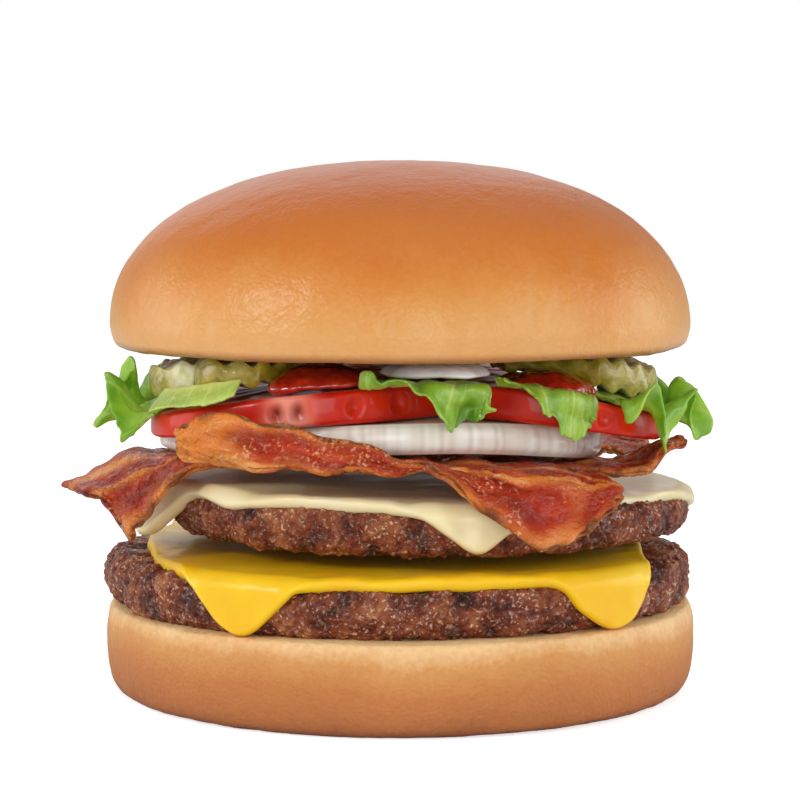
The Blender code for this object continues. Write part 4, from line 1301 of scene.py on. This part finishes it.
# Creases: degrees from the front towards the right, middle height over the cut, length, width and depth
creases = (
    (25.0, 0.007, 0.007, 0.0012, 0.0005),
    (31.0, 0.010, 0.005, 0.0010, 0.0003),
    (41.0, 0.0165, 0.003, 0.003, 0.0005),
    (-1.0, 0.0065, 0.006, 0.0016, 0.0004),
    (12.0, 0.005, 0.004, 0.0014, 0.0003),
    (-38.0, 0.006, 0.005, 0.0016, 0.0003),
)
for turn, middle, length, width, depth in creases:
    away = np.radians(turn - 90.0) - angle
    away = np.arctan2(np.sin(away), np.cos(away)) * CROWN_RADIUS + 0.12 * (height - middle)
    radius = radius - depth * np.exp(-((away / width) ** 2) - ((height - middle) / length) ** 2)
crown = grown(
    turned_mesh("crown", turned_rings(radius, angle, CROWN_UNDERSIDE + height)),
    UNEVEN,
    Lump_Size=0.011,
    Lump_Height=0.00035,
    Crumb_Size=0.0024,
    Crumb_Height=0.00005,
    Grain_Size=0.0011,
    Grain_Height=0.00002,
    Seed=3.0,
    Finish=crown_skin,
)
crown = put(crown, crown_skin)
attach(crown, "root")
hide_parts("bun_top")


# Floor, lights and camera
# A white studio sweep, a small soft box from the front left that makes the sheen, wide ones from the front
# and the right, one overhead, and weaker ones from the sides and the back.
floor_mesh = bpy.data.meshes.new("floor")
FLOOR_REACH = 6.0
corners = [(-FLOOR_REACH, -FLOOR_REACH, 0.0), (FLOOR_REACH, -FLOOR_REACH, 0.0)]
corners += [(FLOOR_REACH, FLOOR_REACH, 0.0), (-FLOOR_REACH, FLOOR_REACH, 0.0)]
floor_mesh.from_pydata(corners, [], [(0, 1, 2, 3)])
# White paper, lit from behind as far as the eye sees it, so that it has no horizon
paper, tree, shader, place = food("white studio paper", Roughness=0.8)
shader.inputs["Base Color"].default_value = linear("F4F4F4")
glow = add(tree, "ShaderNodeEmission", {"Color": (1.0, 1.0, 1.0, 1.0), "Strength": 0.62}).outputs[0]
seen = add(tree, "ShaderNodeLightPath").outputs["Is Camera Ray"]
backlight = add(tree, "ShaderNodeMixShader", {0: seen, 2: glow}).outputs[0]
both = add(tree, "ShaderNodeAddShader", {0: shader.outputs[0], 1: backlight}).outputs[0]
tree.links.new(both, tree.nodes["Material Output"].inputs["Surface"])
floor_mesh.materials.append(paper)
floor = bpy.data.objects.new("floor", floor_mesh)
bpy.context.scene.collection.objects.link(floor)

world = bpy.data.worlds.new("studio")
world.use_nodes = True
tree = world.node_tree
seen = add(tree, "ShaderNodeLightPath").outputs["Is Camera Ray"]
strength = add(tree, "ShaderNodeMapRange", {0: seen, 3: 0.42, 4: 1.0}).outputs[0]
tree.nodes["Background"].inputs["Color"].default_value = (1.0, 1.0, 1.0, 1.0)
tree.links.new(strength, tree.nodes["Background"].inputs["Strength"])
bpy.context.scene.world = world


# Soft boxes: place, size and power
aim = Vector((0.0, 0.0, 0.05))
for name, place, size, power in (
    ("key", (-0.62, -0.50, 0.42), 0.22, 2.4),
    ("fill", (0.70, -0.50, 0.26), 0.45, 1.7),
    ("front", (0.05, -0.95, 0.16), 0.40, 2.2),
    ("top", (0.05, -0.15, 0.85), 0.50, 0.5),
    ("left rim", (-0.75, 0.12, 0.16), 0.45, 1.4),
    ("right rim", (0.75, 0.12, 0.16), 0.45, 1.6),
    ("rear", (-0.10, 0.80, 0.45), 0.60, 0.9),
):
    lamp = bpy.data.lights.new(name, "AREA")
    lamp.size = size
    lamp.energy = power
    holder = bpy.data.objects.new(name, lamp)
    holder.location = place
    holder.rotation_euler = (aim - Vector(place)).to_track_quat("-Z", "Y").to_euler()
    bpy.context.scene.collection.objects.link(holder)

# The photo's camera: a long lens a little above the burger's middle, looking slightly down
CAMERA_DISTANCE = 0.4683
CAMERA_HEIGHT = 0.08926
CAMERA_DIP = 4.649
camera = bpy.data.cameras.new("camera")
camera.sensor_width = 36.0
camera.lens = 117.66
camera.clip_start = 0.01
holder = bpy.data.objects.new("camera", camera)
holder.location = (0.0, -CAMERA_DISTANCE, CAMERA_HEIGHT)
holder.rotation_euler = (math.radians(90.0 - CAMERA_DIP), 0.0, 0.0)
bpy.context.scene.collection.objects.link(holder)
bpy.context.scene.camera = holder
bpy.context.scene.view_settings.view_transform = "Standard"
